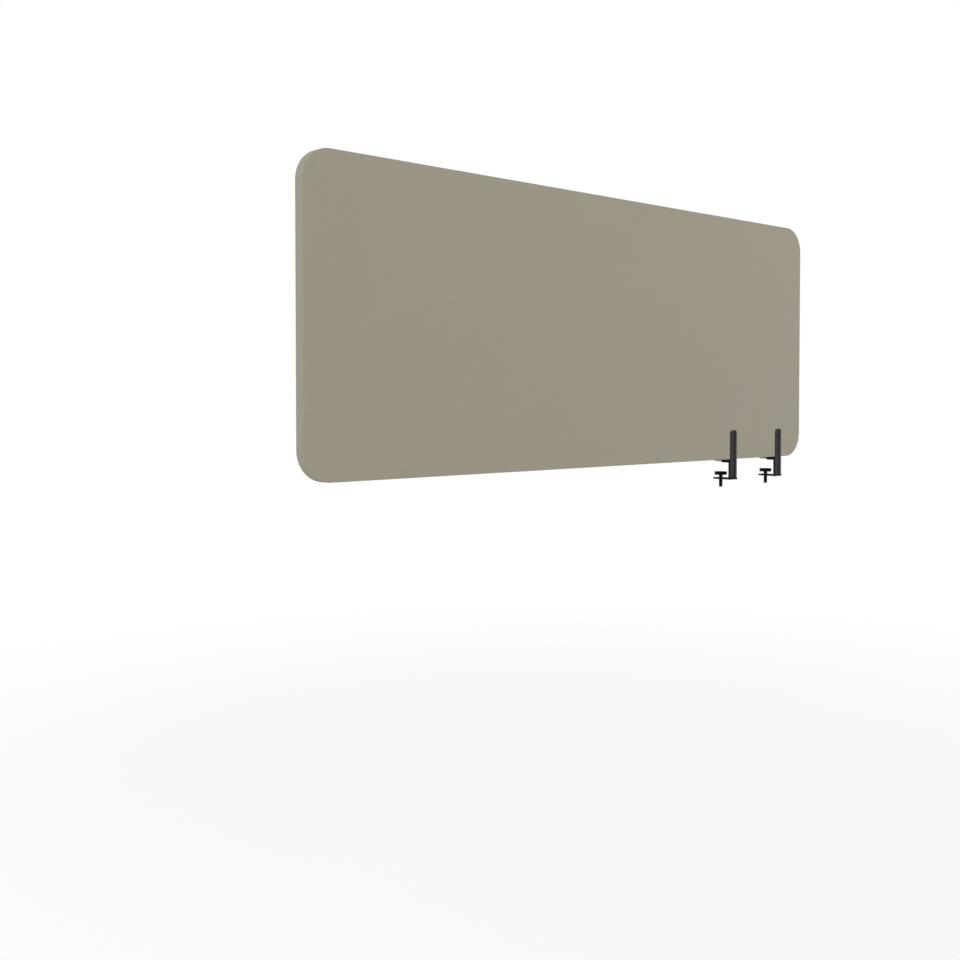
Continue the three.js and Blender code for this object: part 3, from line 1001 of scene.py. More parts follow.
@dataclass
class PanelCloth(SubAssembly):
    """The cloth of the panel: a front cover, a rear cover and the band sewn between them."""

    corner_radius: float = 0.060
    corner_steps: int = 32
    thickness: float = 0.001
    arris: float = 0.0007
    arris_steps: int = 6
    roll_drop: float = 0.0003
    roll_reach: float = 0.014
    roll_steps: int = 4
    flat_strip: float = 0.004
    tuck: float = 0.0006
    tuck_steps: int = 4
    pocket_arris: float = 0.0004
    pocket_reach: float = 0.004
    pocket_top_steps: int = 10
    mouth_radius: float = 0.0012
    low: Point2 = field(init=False)
    high: Point2 = field(init=False)
    near: float = field(init=False)
    far: float = field(init=False)

    @property
    def rim(self) -> float:
        """How far behind its face a cover is turned in."""
        return self.roll_drop + self.arris + self.tuck

    def build(self) -> None:
        """Builds the three pieces of cloth."""
        low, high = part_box("front_cover")
        self.low, self.high = (low.x, low.z), (high.x, high.z)
        self.near, self.far = low.y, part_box("rear_cover")[1].y
        for face in Face:
            self._cover(face)
        self._band()

    def _rear_outline(self) -> tuple[Outline, list[Side]]:
        """Returns the panel's plain outline and what its sides are."""
        outline = rounded_box(self.low, self.high, [self.corner_radius] * 4, self.corner_steps)
        return outline, [Side.EDGE] * 4

    def _front_outline(self) -> tuple[Outline, list[Side]]:
        """Lays out the panel's outline with the clamp bars' pockets in its foot.

        Returns:
            The outline and what its sides are.
        """
        plain = self._rear_outline()[0].corners
        foot = self.low[1]
        round_top = (BAR_TOP_RADIUS + POCKET_GAP, self.pocket_top_steps)
        corners, sides = [plain[0]], [Side.EDGE]
        for pocket in sorted(Pocket.of(clamp) for clamp in Place):
            corners += [
                Corner(pocket.left, foot, self.mouth_radius),
                Corner(pocket.left, pocket.top, *round_top),
                Corner(pocket.right, pocket.top, *round_top),
                Corner(pocket.right, foot, self.mouth_radius),
            ]
            sides += [Side.POCKET, Side.POCKET, Side.POCKET, Side.EDGE]
        corners += plain[1:]
        sides += [Side.EDGE] * 3
        return Outline(tuple(corners)), sides

    def _profile(self, side: Side) -> list[Point2]:
        """Lays out the cloth's section at one kind of side.

        Args:
            side: What the side borders on.

        Returns:
            Pairs of inset and level, from the flat face over the arris and back inside.
        """
        is_edge = side is Side.EDGE
        arris = self.arris if is_edge else self.pocket_arris
        reach = self.roll_reach if is_edge else self.pocket_reach
        start = self.roll_drop + arris
        steps = [(arris + reach + self.flat_strip, 0.0)]
        for k in range(self.roll_steps, 0, -1):
            share = k / self.roll_steps
            fall = self.roll_drop * (1 - math.sin(share * QUARTER_TURN))
            steps.append((arris + reach * share, fall))
        turned = rounded_arris(arris, self.arris_steps)
        steps += [(inset, self.roll_drop + drop) for inset, drop in turned]
        for k in range(1, self.tuck_steps + 1):
            turn = QUARTER_TURN * k / self.tuck_steps
            inset = self.tuck * (1 - math.cos(turn)) if is_edge else 0.0
            steps.append((inset, start + (self.rim - start) * math.sin(turn)))
        steps += [(self.thickness, self.rim), (self.thickness, self.thickness)]
        steps.append((self.thickness + self.flat_strip, self.thickness))
        return steps

    def _cover(self, face: Face) -> None:
        """Builds one cover, stretched over the foam sheet behind it.

        Args:
            face: The face of the panel that it covers.
        """
        is_front = face is Face.FRONT
        outline, sides = self._front_outline() if is_front else self._rear_outline()
        start, way = (self.near, 1) if is_front else (self.far, -1)
        profiles = {side: self._profile(side) for side in Side}
        rings = []
        for step in range(len(profiles[Side.EDGE])):
            insets = [profiles[side][step][0] for side in sides]
            levels = [profiles[side][step][1] * way for side in sides]
            rings.append(outline.ring(insets, levels))
        piece = loft(f"{face.value}_cover_cloth", rings, in_face(start), run=Run.FLAT)
        self.settle(piece, Slot.CLOTH, SCREEN, f"{face.value}_cover")

    def _band(self) -> None:
        """Builds the band, with its edges turned in at the two seams."""
        outline, _ = self._rear_outline()
        rim = self.rim
        width = self.far - self.near - 2 * rim
        turns = [QUARTER_TURN * k / self.tuck_steps for k in range(self.tuck_steps + 1)]
        near_edge = [
            (self.tuck * (1 - math.sin(turn)), rim + self.tuck * (1 - math.cos(turn)))
            for turn in turns
        ]
        section = near_edge + [(inset, 2 * rim + width - level) for inset, level in near_edge[::-1]]
        section += [(self.thickness, rim + width), (self.thickness, rim)]
        rings = [outline.even_ring(inset, level) for inset, level in section]
        piece = loft("edge_band_cloth", rings, in_face(self.near), closed=True, run=Run.AROUND)
        foot = self.low[1]
        carve(piece, [
            pocket.cutter(foot - POCKET_OVERRUN, foot + POCKET_OVERRUN, self.near,
                          pocket.back - self.near)
            for pocket in map(Pocket.of, Place)
        ])
        self.settle(piece, Slot.CLOTH, SCREEN, "edge_band")


@dataclass
class PanelFilling(SubAssembly):
    """What the cloth covers: foam sheets, the acoustic core and the timber frame."""

    corner_radius: float = 0.058
    corner_steps: int = 24
    foam_arris: float = 0.0005
    core_arris: float = 0.002

    def build(self) -> None:
        """Builds the soft pieces and dresses the timber members."""
        for face in Face:
            node = f"{face.value}_foam"
            piece = self._soft(f"{node}_sheet", node, self.corner_radius, self.foam_arris)
            if face is Face.FRONT:
                low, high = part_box(node)
                depth = high.y - low.y + POCKET_OVERRUN
                carve(piece, [
                    pocket.cutter(low.z - POCKET_OVERRUN, pocket.top, low.y, depth)
                    for pocket in map(Pocket.of, Place)
                ])
            self.settle(piece, Slot.FOAM, SCREEN, node)
        core = self._soft("acoustic_core_slab", "acoustic_core", 0.0, self.core_arris)
        self.settle(core, Slot.WOOL, SCREEN, "acoustic_core")
        self._timber()

    def _soft(self, name: str, node: str, radius: float, arris: float) -> Piece:
        """Builds a soft flat piece that fills its node's box.

        Args:
            name: Name of the piece.
            node: The node.
            radius: Radius of the piece's corners.
            arris: Radius of its arrises.

        Returns:
            The piece.
        """
        low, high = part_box(node)
        outline = rounded_box((low.x, low.z), (high.x, high.z), [radius] * 4, self.corner_steps)
        return slab(name, outline, 0.0, high.y - low.y, arris, in_face(low.y))

    def _timber(self) -> None:
        """Gives each member of the frame its grain."""
        upright = ["left_stile", "right_stile"]
        along = ["top_rail", "bottom_rail"]
        for end in ("left", "right"):
            along += [f"corner_block_top_{end}", f"corner_block_bottom_{end}"]
        for names, grain in ((upright, Grain.UPRIGHT), (along, Grain.ALONG)):
            for name in names:
                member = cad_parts[name]
                self.finishes.dress(member, Slot.TIMBER, grain)
                self.pieces.append(member)


# Clamps


@dataclass(frozen=True)
class Thread:
    """A right-hand screw thread as a radius that depends on height and angle."""

    root: float
    crest: float
    pitch: float
    start: float
    end: float
    flat_share: float = 0.14

    def radius(self, height: float, angle: float) -> float:
        """Works out the thread's radius at a place on it.

        Args:
            height: Height of the place.
            angle: Its angle about the axis.

        Returns:
            The radius there.
        """
        turn = (height / self.pitch - angle / FULL_TURN) % 1.0
        ridge = abs(2 * turn - 1)
        slope = (ridge - self.flat_share) / (1 - 2 * self.flat_share)
        fade = min(1.0, (height - self.start) / self.pitch, (self.end - height) / self.pitch)
        rise = min(max(slope, 0.0), 1.0) * max(fade, 0.0)
        return self.root + (self.crest - self.root) * rise

    def rings(self, per_pitch: int, count: int) -> list[Ring]:
        """Makes the thread's rings from start to end.

        Args:
            per_pitch: How many rings there are to a pitch.
            count: Points of each ring.

        Returns:
            The rings.
        """
        steps = round((self.end - self.start) / self.pitch * per_pitch)
        turns = [FULL_TURN * k / count for k in range(count)]
        made = []
        for i in range(steps + 1):
            height = self.start + (self.end - self.start) * i / steps
            radii = [self.radius(height, turn) for turn in turns]
            made.append([
                (r * math.cos(turn), r * math.sin(turn), height) for r, turn in zip(radii, turns)
            ])
        return made


def lobed(radius: float, depth: float, lobes: int, height: float, count: int) -> Ring:
    """Makes a ring with rounded lobes, such as a driver's recess.

    Args:
        radius: Its mean radius.
        depth: How far the lobes rise above and fall below it.
        lobes: How many there are.
        height: Its height.
        count: Points of the ring.

    Returns:
        The ring.
    """
    ring = []
    for k in range(count):
        turn = FULL_TURN * k / count
        r = radius + depth * math.cos(lobes * turn)
        ring.append((r * math.cos(turn), r * math.sin(turn), height))
    return ring


def hexagon(across: float, height: float, count: int) -> Ring:
    """Makes a six-sided ring.

    Args:
        across: Its size across the flats.
        height: Its height.
        count: Points of the ring, a multiple of six.

    Returns:
        The ring.
    """
    ring = []
    for k in range(count):
        turn = FULL_TURN * k / count
        off = turn % (math.pi / 3) - math.pi / 6
        r = across / 2 / math.cos(off)
        ring.append((r * math.cos(turn), r * math.sin(turn), height))
    return ring


@dataclass(frozen=True)
class WoodScrew:
    """A countersunk wood screw with a lobed recess, driven through the bar into the rail."""

    clamp: Place
    height: Height
    points: int = 36
    shank: float = 0.002
    root: float = 0.00135
    pitch: float = 0.0018
    thread_steps: int = 8
    point_length: float = 0.004
    point_share: float = 0.25
    plain_length: float = 0.004
    recess: float = 0.0012
    recess_lobe: float = 0.0002
    recess_depth: float = 0.0012
    recess_taper: float = 0.8
    lobes: int = 6
    head_edge: float = 0.00025
    crisp_degrees: float = 50.0

    def build(self) -> Piece:
        """Builds the screw.

        Returns:
            The screw.
        """
        low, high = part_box(f"wood_screw_{self.height.value}_{self.clamp.value}")
        x, z = (low.x + high.x) / 2, (low.z + high.z) / 2
        head = (high.x - low.x) / 2
        face, tip = low.y, high.y
        n = self.points
        under_head = face + self.head_edge + head - self.shank
        thread = Thread(self.root, self.shank, self.pitch, under_head + self.plain_length,
                        tip - self.point_length)
        rings = [
            lobed(recess, lobe, self.lobes, height, n)
            for recess, lobe, height in (
                (self.recess * self.recess_taper, self.recess_lobe * self.recess_taper,
                 face + self.recess_depth),
                (self.recess, self.recess_lobe, face + self.recess_lobe),
                (self.recess + self.recess_lobe / 2, self.recess_lobe, face),
            )
        ]
        rings += [
            circle(head - self.head_edge, face, n),
            circle(head - self.head_edge / 2, face, n),
            circle(head, face + self.head_edge / 2, n),
            circle(head, face + self.head_edge, n),
            circle(self.shank, under_head, n),
            circle(self.shank, thread.start - self.pitch / 2, n),
        ]
        rings += thread.rings(self.thread_steps, n)
        rings.append(circle(self.root * self.point_share, tip, n))
        return loft(f"timber_screw_{self.height.value}_{self.clamp.value}", rings, along_y(x, z),
                    crisp_degrees=self.crisp_degrees)


@dataclass
class ClampBody(SubAssembly):
    """The fixed steel of one clamp: bar, jaws, stop block, liner and wood screws."""

    clamp: Place = Place.OUTER
    crown: float = 0.0015
    bar_arris: float = 0.0006
    bar_arris_steps: int = 5
    bar_back_arris: float = 0.0003
    bar_back_steps: int = 3
    bar_columns: int = 14
    jaw_tip_radius: float = 0.008
    jaw_near_radius: float = 0.002
    jaw_arris: float = 0.0006
    block_arris: float = 0.0004
    block_corner_steps: int = 3
    corner_steps: int = 10
    hole_points: int = 48
    hole_clearance: float = 0.0001
    hole_rim: float = 0.0001
    bore_clearance: float = 0.0003
    bar_low: Vector = field(init=False)
    bar_high: Vector = field(init=False)
    x: float = field(init=False)

    def build(self) -> None:
        """Builds the clamp's fixed pieces."""
        tag = self.clamp.value
        self.bar_low, self.bar_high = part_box(f"spine_bar_{tag}")
        self.x = (self.bar_low.x + self.bar_high.x) / 2
        for piece, node, coat in (
            (self._bar(), "spine_bar", Coat.SMOOTH),
            (self._plate(Plate.UPPER_JAW), "upper_jaw", Coat.SMOOTH),
            (self._lower_jaw(), "lower_jaw", Coat.MATT),
            (self._stop(), "stop_block", Coat.SMOOTH),
        ):
            self.settle(piece, Slot.COATED, SCREEN, f"{node}_{tag}", look=coat)
        liner = self._plate(Plate.JAW_LINER)
        self.settle(liner, Slot.PALE_RUBBER, SCREEN, f"jaw_liner_{tag}")
        for height in Height:
            screw = WoodScrew(self.clamp, height).build()
            self.settle(screw, Slot.BLACKENED, SCREEN, f"wood_screw_{height.value}_{tag}")

    def _crown(self, x: float) -> float:
        """Works out the level of the crowned face against that of its two sides.

        Args:
            x: The place across the face.

        Returns:
            The level there: 0 at the sides, and in the middle the whole crown in front of them.
        """
        half = (self.bar_high.x - self.bar_low.x) / 2
        radius = (half**2 + self.crown**2) / (2 * self.crown)
        return radius - self.crown - math.sqrt(radius**2 - (x - self.x) ** 2)

    def _bar(self) -> Piece:
        """Builds the crowned bar, its face laid in rows between its rounded arrises.

        Returns:
            The bar, with its screw holes.
        """
        low, high = self.bar_low, self.bar_high
        front = low.y + self.crown
        outline = rounded_box((low.x, low.z), (high.x, high.z),
                              (0.0, 0.0, BAR_TOP_RADIUS, BAR_TOP_RADIUS), self.corner_steps)
        rings = []
        for inset, drop in rounded_arris(self.bar_arris, self.bar_arris_steps):
            ring = outline.even_ring(inset, drop)
            rings.append([(a, front + self._crown(a) + drop, b) for a, b, drop in ring])
        depth = high.y - front
        for inset, drop in reversed(rounded_arris(self.bar_back_arris, self.bar_back_steps)):
            ring = outline.even_ring(inset, depth - drop)
            rings.append([(a, front + level, b) for a, b, level in ring])
        piece = self._skinned(rings)
        carve(piece, [self._hole_cutter(height) for height in Height])
        return piece

    def _skinned(self, rings: list[Ring]) -> Piece:
        """Skins the bar's rings, fills its crowned face in rows and caps its back.

        Args:
            rings: The rings from the face's arris round to the back.

        Returns:
            The bar.
        """
        bm = bmesh.new()
        verts = [[bm.verts.new(point) for point in ring] for ring in rings]
        count = len(rings[0])
        for here, there in zip(verts, verts[1:]):
            for k in range(count):
                k2 = (k + 1) % count
                bm.faces.new((here[k], here[k2], there[k2], there[k]))
        bm.faces.new(verts[-1])
        step = self.corner_steps + 1
        first = verts[0]
        foot_left, foot_right = first[:step], first[step:2 * step]
        top_right, top_left = first[2 * step:3 * step], first[3 * step:]
        left = foot_left[::-1] + top_left[::-1]
        right = foot_right + top_right
        rows = [self._row(bm, a, b) for a, b in zip(left, right)]
        for lower, upper in zip(rows, rows[1:]):
            for k in range(self.bar_columns):
                bm.faces.new((lower[k], lower[k + 1], upper[k + 1], upper[k]))
        return _piece_of(f"clamp_bar_{self.clamp.value}", bm)

    def _row(
        self, bm: bmesh.types.BMesh, start: bmesh.types.BMVert, end: bmesh.types.BMVert
    ) -> list[bmesh.types.BMVert]:
        """Adds one row of points across the crowned face.

        Args:
            bm: The bar's mesh.
            start: The point of the arris that the row starts from.
            end: The one that it ends at.

        Returns:
            The row, with both of these.
        """
        front = self.bar_low.y + self.crown
        row = [start]
        for k in range(1, self.bar_columns):
            x = start.co.x + (end.co.x - start.co.x) * k / self.bar_columns
            row.append(bm.verts.new((x, front + self._crown(x), start.co.z)))
        return row + [end]

    def _hole_cutter(self, height: Height) -> Piece:
        """Makes the cutter of one wood screw's clearance hole and countersink.

        Args:
            height: Which of the two wood screws.

        Returns:
            The cutter.
        """
        low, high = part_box(f"wood_screw_{height.value}_{self.clamp.value}")
        centre = (low + high) / 2
        head = (high.x - low.x) / 2 + self.hole_clearance
        shank = head / 2 + self.hole_clearance / 2
        face = self.bar_low.y
        overrun = self.bar_high.y - face
        rim = low.y
        profile = [(0.0, face - overrun), (head + self.hole_rim, face - overrun),
                   (head + self.hole_rim, face), (head, rim),
                   (shank, rim + head - shank), (shank, self.bar_high.y + overrun),
                   (0.0, self.bar_high.y + overrun)]
        rings = [circle(radius, level, self.hole_points) for radius, level in profile]
        return loft("hole", rings, along_y(centre.x, centre.z))

    def _flat(
        self, name: str, node: str, radii: Sequence[float], steps: int, arris: float
    ) -> Piece:
        """Builds a flat piece that fills its node's box, with corners rounded in plan.

        Args:
            name: Name of the piece, without the clamp.
            node: The node, without the clamp.
            radii: Corner radii in the order of rounded_box.
            steps: Steps of each corner.
            arris: Radius of the arrises.

        Returns:
            The piece.
        """
        low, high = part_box(f"{node}_{self.clamp.value}")
        outline = rounded_box((low.x - self.x, low.y), (high.x - self.x, high.y), radii, steps)
        return slab(f"{name}_{self.clamp.value}", outline, low.z, high.z, arris, in_plan(self.x))

    def _plate(self, plate: Plate) -> Piece:
        """Builds the upper jaw or its liner, round at its far corners.

        Args:
            plate: Which of the two.

        Returns:
            The plate.
        """
        inset = self.bar_high.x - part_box(f"{plate.value}_{self.clamp.value}")[1].x
        tip = self.jaw_tip_radius - inset
        near = self.block_arris
        return self._flat(f"{plate.value}_plate", plate.value, (near, near, tip, tip),
                          self.corner_steps, near)

    def _stop(self) -> Piece:
        """Builds the stop block."""
        return self._flat("stop_bar", "stop_block", [self.block_arris] * 4,
                          self.block_corner_steps, self.block_arris)

    def _lower_jaw(self) -> Piece:
        """Builds the lower jaw with the hole that the clamping screw goes through.

        Returns:
            The lower jaw.
        """
        near, tip = self.jaw_near_radius, self.jaw_tip_radius
        piece = self._flat("lower_jaw_plate", "lower_jaw", (near, near, tip, tip),
                           self.corner_steps, self.jaw_arris)
        low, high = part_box(f"lower_jaw_{self.clamp.value}")
        screw_low, screw_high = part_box(f"clamp_screw_{self.clamp.value}")
        radius = (screw_high.x - screw_low.x) / 2 + self.bore_clearance
        lead = 2 * self.bore_clearance
        overrun = high.z - low.z
        profile = [(0.0, low.z - overrun), (radius + lead + overrun, low.z - overrun),
                   (radius, low.z + lead), (radius, high.z - lead),
                   (radius + lead + overrun, high.z + overrun), (0.0, high.z + overrun)]
        rings = [circle(r, level, self.hole_points) for r, level in profile]
        y = (screw_low.y + screw_high.y) / 2
        carve(piece, [loft("jaw_hole", rings, about(self.x, y))])
        return piece


@dataclass
class ClampScrewSet(SubAssembly):
    """What moves on one clamp: the screw with its clip, and the foot's cup and rubber."""

    clamp: Place = Place.OUTER
    points: int = 48
    pitch: float = 0.0015
    thread_depth: float = 0.00092
    thread_steps: int = 10
    crest_inset: float = 0.000025
    hex_socket: float = 0.005
    hex_socket_depth: float = 0.006
    chamfer: float = 0.0003
    plain_under_shoulder: float = 0.0006
    neck_step: float = 0.0015
    groove_depth: float = 0.0005
    groove_play_share: float = 0.18
    edge: float = 0.0002
    running_gap: float = 0.0003
    cup_socket_depth: float = 0.0022
    cup_foot_round: float = 0.0012
    cup_rim_round: float = 0.0004
    room_round_clip: float = 0.001
    rubber_round: float = 0.0006
    clip_mouth_degrees: float = 70.0
    clip_steps: int = 30
    low: Vector = field(init=False)
    high: Vector = field(init=False)
    clip_low: Vector = field(init=False)
    clip_high: Vector = field(init=False)
    cup_low: Vector = field(init=False)
    cup_high: Vector = field(init=False)
    radius: float = field(init=False)
    axis: Placing = field(init=False)

    @property
    def shoulder(self) -> float:
        """Height of the screw's shoulder, just under the web of the foot's cup."""
        return self.cup_low.z + self.cup_socket_depth - self.running_gap

    def build(self) -> None:
        """Builds the four pieces."""
        tag = self.clamp.value
        self.low, self.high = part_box(f"clamp_screw_{tag}")
        self.clip_low, self.clip_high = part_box(f"retaining_clip_{tag}")
        self.cup_low, self.cup_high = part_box(f"foot_cup_{tag}")
        self.radius = (self.high.x - self.low.x) / 2
        self.axis = about((self.low.x + self.high.x) / 2, (self.low.y + self.high.y) / 2)
        screw_body, foot_body = f"screw_{tag}", f"foot_{tag}"
        self.settle(self._screw(), Slot.BLACKENED, screw_body, f"clamp_screw_{tag}")
        self.settle(self._clip(), Slot.SPRING, screw_body, f"retaining_clip_{tag}")
        self.settle(self._cup(), Slot.PLASTIC, foot_body, f"foot_cup_{tag}")
        self.settle(self._rubber(), Slot.BLACK_RUBBER, foot_body, f"foot_rubber_{tag}")

    def _screw(self) -> Piece:
        """Builds the screw from its hex socket up over the thread to the neck.

        Returns:
            The screw.
        """
        n = self.points
        foot, top, shoulder = self.low.z, self.high.z, self.shoulder
        neck = self.radius - self.neck_step
        groove = neck - self.groove_depth
        root = self.radius - self.thread_depth
        thread = Thread(root, self.radius - self.crest_inset, self.pitch, foot + self.chamfer,
                        min(shoulder - self.plain_under_shoulder, self.cup_low.z))
        rings = [
            hexagon(self.hex_socket, foot + self.hex_socket_depth, n),
            hexagon(self.hex_socket, foot + self.chamfer, n),
            hexagon(self.hex_socket + 2 * self.chamfer, foot, n),
            circle(root - self.chamfer, foot, n),
        ]
        rings += thread.rings(self.thread_steps, n)
        play = (self.clip_high.z - self.clip_low.z) * self.groove_play_share
        rings += [
            circle(root, shoulder - self.edge, n),
            circle(root - self.edge, shoulder, n),
            circle(neck, shoulder, n),
            circle(neck, self.clip_low.z - play, n),
            circle(groove, self.clip_low.z - play, n),
            circle(groove, self.clip_high.z + play, n),
            circle(neck, self.clip_high.z + play, n),
            circle(neck, top - self.edge, n),
            circle(neck - self.edge, top, n),
        ]
        return loft(f"jack_screw_{self.clamp.value}", rings, self.axis)

    def _clip(self) -> Piece:
        """Builds the open spring ring in the screw's groove.

        Returns:
            The clip.
        """
        outer = (self.clip_high.y - self.clip_low.y) / 2
        inner = self.radius - self.neck_step - self.groove_depth + self.edge
        middle = (outer + inner) / 2
        mouth = math.radians(self.clip_mouth_degrees)
        sweep = FULL_TURN - mouth
        turns = [mouth / 2 + sweep * k / self.clip_steps for k in range(self.clip_steps + 1)]
        shape = [(outer, turn) for turn in turns] + [(inner, turn) for turn in reversed(turns)]
        height = self.clip_high.z - self.clip_low.z
        rings = []
        for inset, level in ((self.edge, 0.0), (0.0, self.edge), (0.0, height - self.edge),
                             (self.edge, height)):
            ring = []
            for r, turn in shape:
                r_in = r - inset if r > middle else r + inset
                ring.append((r_in * math.cos(turn), r_in * math.sin(turn),
                             self.clip_low.z + level))
            rings.append(ring)
        return loft(f"spring_clip_{self.clamp.value}", rings, self.axis)

    def _turned(self, name: str, profile: Sequence[Point3], closed: bool) -> Piece:
        """Turns a profile with softened corners about the screw's axis."""
        rings = [circle(r, height, 2 * self.points) for r, height in softened(profile)]
        return loft(f"{name}_{self.clamp.value}", rings, self.axis, closed=closed)

    def _cup(self) -> Piece:
        """Builds the foot's cup: a round knob with a socket below and a recess above.

        Returns:
            The cup.
        """
        low, high = self.cup_low, self.cup_high
        outer = (high.x - low.x) / 2
        gap = self.running_gap
        web_foot = self.shoulder + gap
        web_top = self.clip_low.z - gap
        recess = (self.clip_high.y - self.clip_low.y) / 2 + self.room_round_clip
        bore = self.radius - self.neck_step + gap
        profile = [
            (self.radius + gap, low.z, self.edge),
            (outer, low.z, self.cup_foot_round),
            (outer, high.z, self.cup_rim_round),
            (recess, high.z, 0.0),
            (recess, web_top, 0.0),
            (bore, web_top, 0.0),
            (bore, web_foot, 0.0),
            (self.radius + gap, web_foot, 0.0),
        ]
        return self._turned("foot_cup_knob", profile, True)

    def _rubber(self) -> Piece:
        """Builds the rubber face of the foot.

        Returns:
            The rubber.
        """
        low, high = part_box(f"foot_rubber_{self.clamp.value}")
        outer = (high.x - low.x) / 2
        profile = [
            (0.0, low.z, 0.0),
            (outer, low.z, self.rubber_round / 2),
            (outer, high.z, self.rubber_round),
            (0.0, high.z, 0.0),
        ]
        return self._turned("foot_pad", profile, False)


# Studio


@dataclass(frozen=True)
class Lamp:
    """One soft box: where it hangs, how large it is, how strong and of what tint."""

    name: str
    place: Point3
    size: float
    watts: float
    tint: Point3 = (1.0, 1.0, 1.0)
    aim: Point3 = (0.0, 0.0, 0.25)

    def build(self) -> None:
        """Hangs the lamp and aims it."""
        data = bpy.data.lights.new(self.name, "AREA")
        data.shape = "DISK"
        data.size = self.size
        data.energy = self.watts
        data.color = self.tint
        lamp = bpy.data.objects.new(self.name, data)
        lamp.location = self.place
        lamp.rotation_euler = (Vector(self.aim) - lamp.location).to_track_quat("-Z", "Y").to_euler()
        bpy.context.scene.collection.objects.link(lamp)


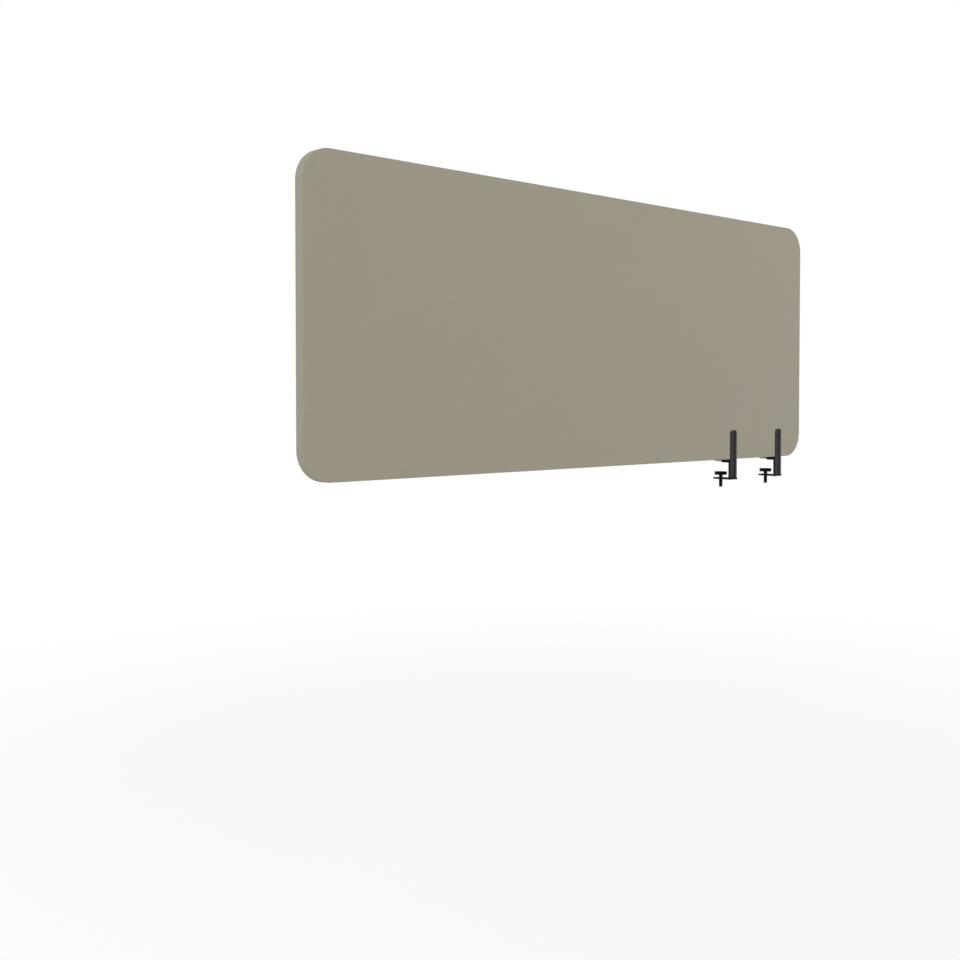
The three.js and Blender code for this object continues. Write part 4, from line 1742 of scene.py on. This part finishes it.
@dataclass(frozen=True)
class Studio:
    """Camera, floor, surroundings and lamps."""

    picture_pixels: float = 960.0
    focal_pixels: float = 1199.757
    centre_across_pixels: float = 480.0
    centre_down_pixels: float = 430.987
    half_pixel: float = 0.5
    sensor_mm: float = 36.0
    camera_place: Point3 = (-2.02272, -1.78434, 0.15992)
    camera_down_degrees: float = 1.597
    camera_turn_degrees: float = -43.201
    floor_level: float = -0.735
    floor_size: float = 40.0
    floor_thickness: float = 0.01
    floor_grey: float = 0.8
    floor_roughness: float = 0.9
    floor_fade: tuple[Point2, Point2] = ((0.3, 0.62), (2.8, 1.0))
    sky: float = 0.62
    # Painted reflection: how bright reflections alone find the surroundings, by degrees from -Y
    # towards +X; these bands light nothing.
    painted_reflection_levels: tuple[Point2, ...] = (
        (-180.0, 1.0), (-165.0, 0.95), (-148.0, 0.05), (-100.0, 0.02), (-20.0, 0.05), (10.0, 0.54),
        (54.0, 0.6), (57.5, 0.03), (67.0, 0.0), (69.5, 1.0), (180.0, 1.0),
    )
    lamps: tuple[Lamp, ...] = (
        Lamp("key_box", (-1.6, -3.4, 2.2), 2.4, 40.7, (1.0, 0.99, 0.95)),
        Lamp("window_box", (-3.6, 0.2, 1.6), 2.0, 38.0, (0.86, 0.965, 1.0)),
        Lamp("side_box", (2.6, -2.0, 1.6), 2.0, 28.5, (0.96, 0.93, 1.0)),
        Lamp("back_box", (0.6, 2.8, 2.2), 2.4, 34.0),
    )

    def build(self) -> None:
        """Builds the studio."""
        self._camera()
        self._floor()
        self._surroundings()
        for lamp in self.lamps:
            lamp.build()
        bpy.context.scene.view_settings.view_transform = "Standard"
        log.info("studio with %d lamps", len(self.lamps))

    def _camera(self) -> None:
        """Places the camera where the photograph was taken from."""
        data = bpy.data.cameras.new("camera")
        data.sensor_width = self.sensor_mm
        data.lens = self.focal_pixels / self.picture_pixels * self.sensor_mm
        middle = self.picture_pixels / 2 - self.half_pixel
        data.shift_x = (middle - self.centre_across_pixels) / self.picture_pixels
        data.shift_y = (self.centre_down_pixels - middle) / self.picture_pixels
        camera = bpy.data.objects.new("camera", data)
        camera.location = self.camera_place
        camera.rotation_euler = (
            QUARTER_TURN - math.radians(self.camera_down_degrees),
            0.0,
            math.radians(self.camera_turn_degrees),
        )
        bpy.context.scene.collection.objects.link(camera)
        bpy.context.scene.camera = camera

    def _seen(self, wires: Wiring, direction: Socket) -> tuple[Socket, Socket]:
        """Tells what shows of the surroundings in a direction, apart from the light they give.

        Args:
            wires: The tree to add the nodes to.
            direction: The direction.

        Returns:
            Whether a ray comes from the camera or a reflection, and how bright it finds them.
        """
        rays = wires.add("ShaderNodeLightPath")
        camera, glossy = rays.outputs["Is Camera Ray"], rays.outputs["Is Glossy Ray"]
        # Reflections find the painted reflection levels; camera rays find plain white.
        painted_reflection = wires.compass(direction, self.painted_reflection_levels)
        level = wires.math("MAXIMUM", camera, wires.math("MULTIPLY", glossy, painted_reflection))
        return wires.math("MAXIMUM", camera, glossy), level

    def _floor(self) -> None:
        """Lays the floor, which keeps soft shadows near the part and fades to white."""
        half = self.floor_size / 2
        outline = square_box((-half, -half), (half, half))
        depths = (self.floor_level - self.floor_thickness, self.floor_level)
        floor = loft("floor", [outline.even_ring(0.0, level) for level in depths], in_plan())
        s = Shader("floor_white")
        grey = self.floor_grey
        s.set(base_color=(grey, grey, grey, 1.0), roughness=self.floor_roughness)
        s.set(specular_ior_level=0.0)
        seen, level = self._seen(s, s.places)
        length = s.add("ShaderNodeVectorMath", operation="LENGTH")
        s.join(s.stretched((1.0, 1.0, 0.0)), length.inputs[0])
        (near, share_near), (far, share_far) = self.floor_fade
        fade = s.stepped(length.outputs["Value"], (near, far))
        fade.inputs["To Min"].default_value = share_near
        fade.inputs["To Max"].default_value = share_far
        # To reflections the floor glows with the painted reflection levels, and to the camera plain
        # white.
        glow = s.add("ShaderNodeEmission")
        s.join(level, glow.inputs["Strength"])
        blend = s.add("ShaderNodeMixShader")
        s.join(s.math("MULTIPLY", seen, fade.outputs["Result"]), blend.inputs[0])
        s.join(s.surface.outputs["BSDF"], blend.inputs[1])
        s.join(glow.outputs[0], blend.inputs[2])
        s.join(blend.outputs[0], s.out.inputs["Surface"])
        floor.data.materials.append(s.material)

    def _surroundings(self) -> None:
        """Lights the part softly from all round, before a plain white, with painted bands of dark
        and bright that reflections alone see.
        """
        world = bpy.data.worlds.new("studio")
        world.use_nodes = True
        w = Wiring(world.node_tree)
        direction = w.add("ShaderNodeTexCoord").outputs["Generated"]
        seen, level = self._seen(w, direction)
        unseen = w.math("SUBTRACT", 1.0, seen)
        backdrop = w.add("ShaderNodeBackground")
        strength = w.math("ADD", level, w.math("MULTIPLY", unseen, self.sky))
        w.join(strength, backdrop.inputs["Strength"])
        backdrop.inputs["Color"].default_value = (1.0, 1.0, 1.0, 1.0)
        w.join(backdrop.outputs[0], w.add("ShaderNodeOutputWorld").inputs["Surface"])
        bpy.context.scene.world = world


def main() -> None:
    """Builds the studio and every sub-assembly in order, and reports each piece."""
    logging.basicConfig(level=logging.INFO, format="%(name)s: %(message)s")
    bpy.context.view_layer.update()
    Studio().build()
    finishes = Finishes()
    assemblies: list[SubAssembly] = [PanelCloth(finishes), PanelFilling(finishes)]
    for clamp in Place:
        assemblies += [ClampBody(finishes, clamp=clamp), ClampScrewSet(finishes, clamp=clamp)]
    for assembly in assemblies:
        assembly.build()
        for piece in assembly.pieces:
            log.info("%s: %d faces", piece.name, len(piece.data.polygons))


if __name__ == "__main__":
    main()
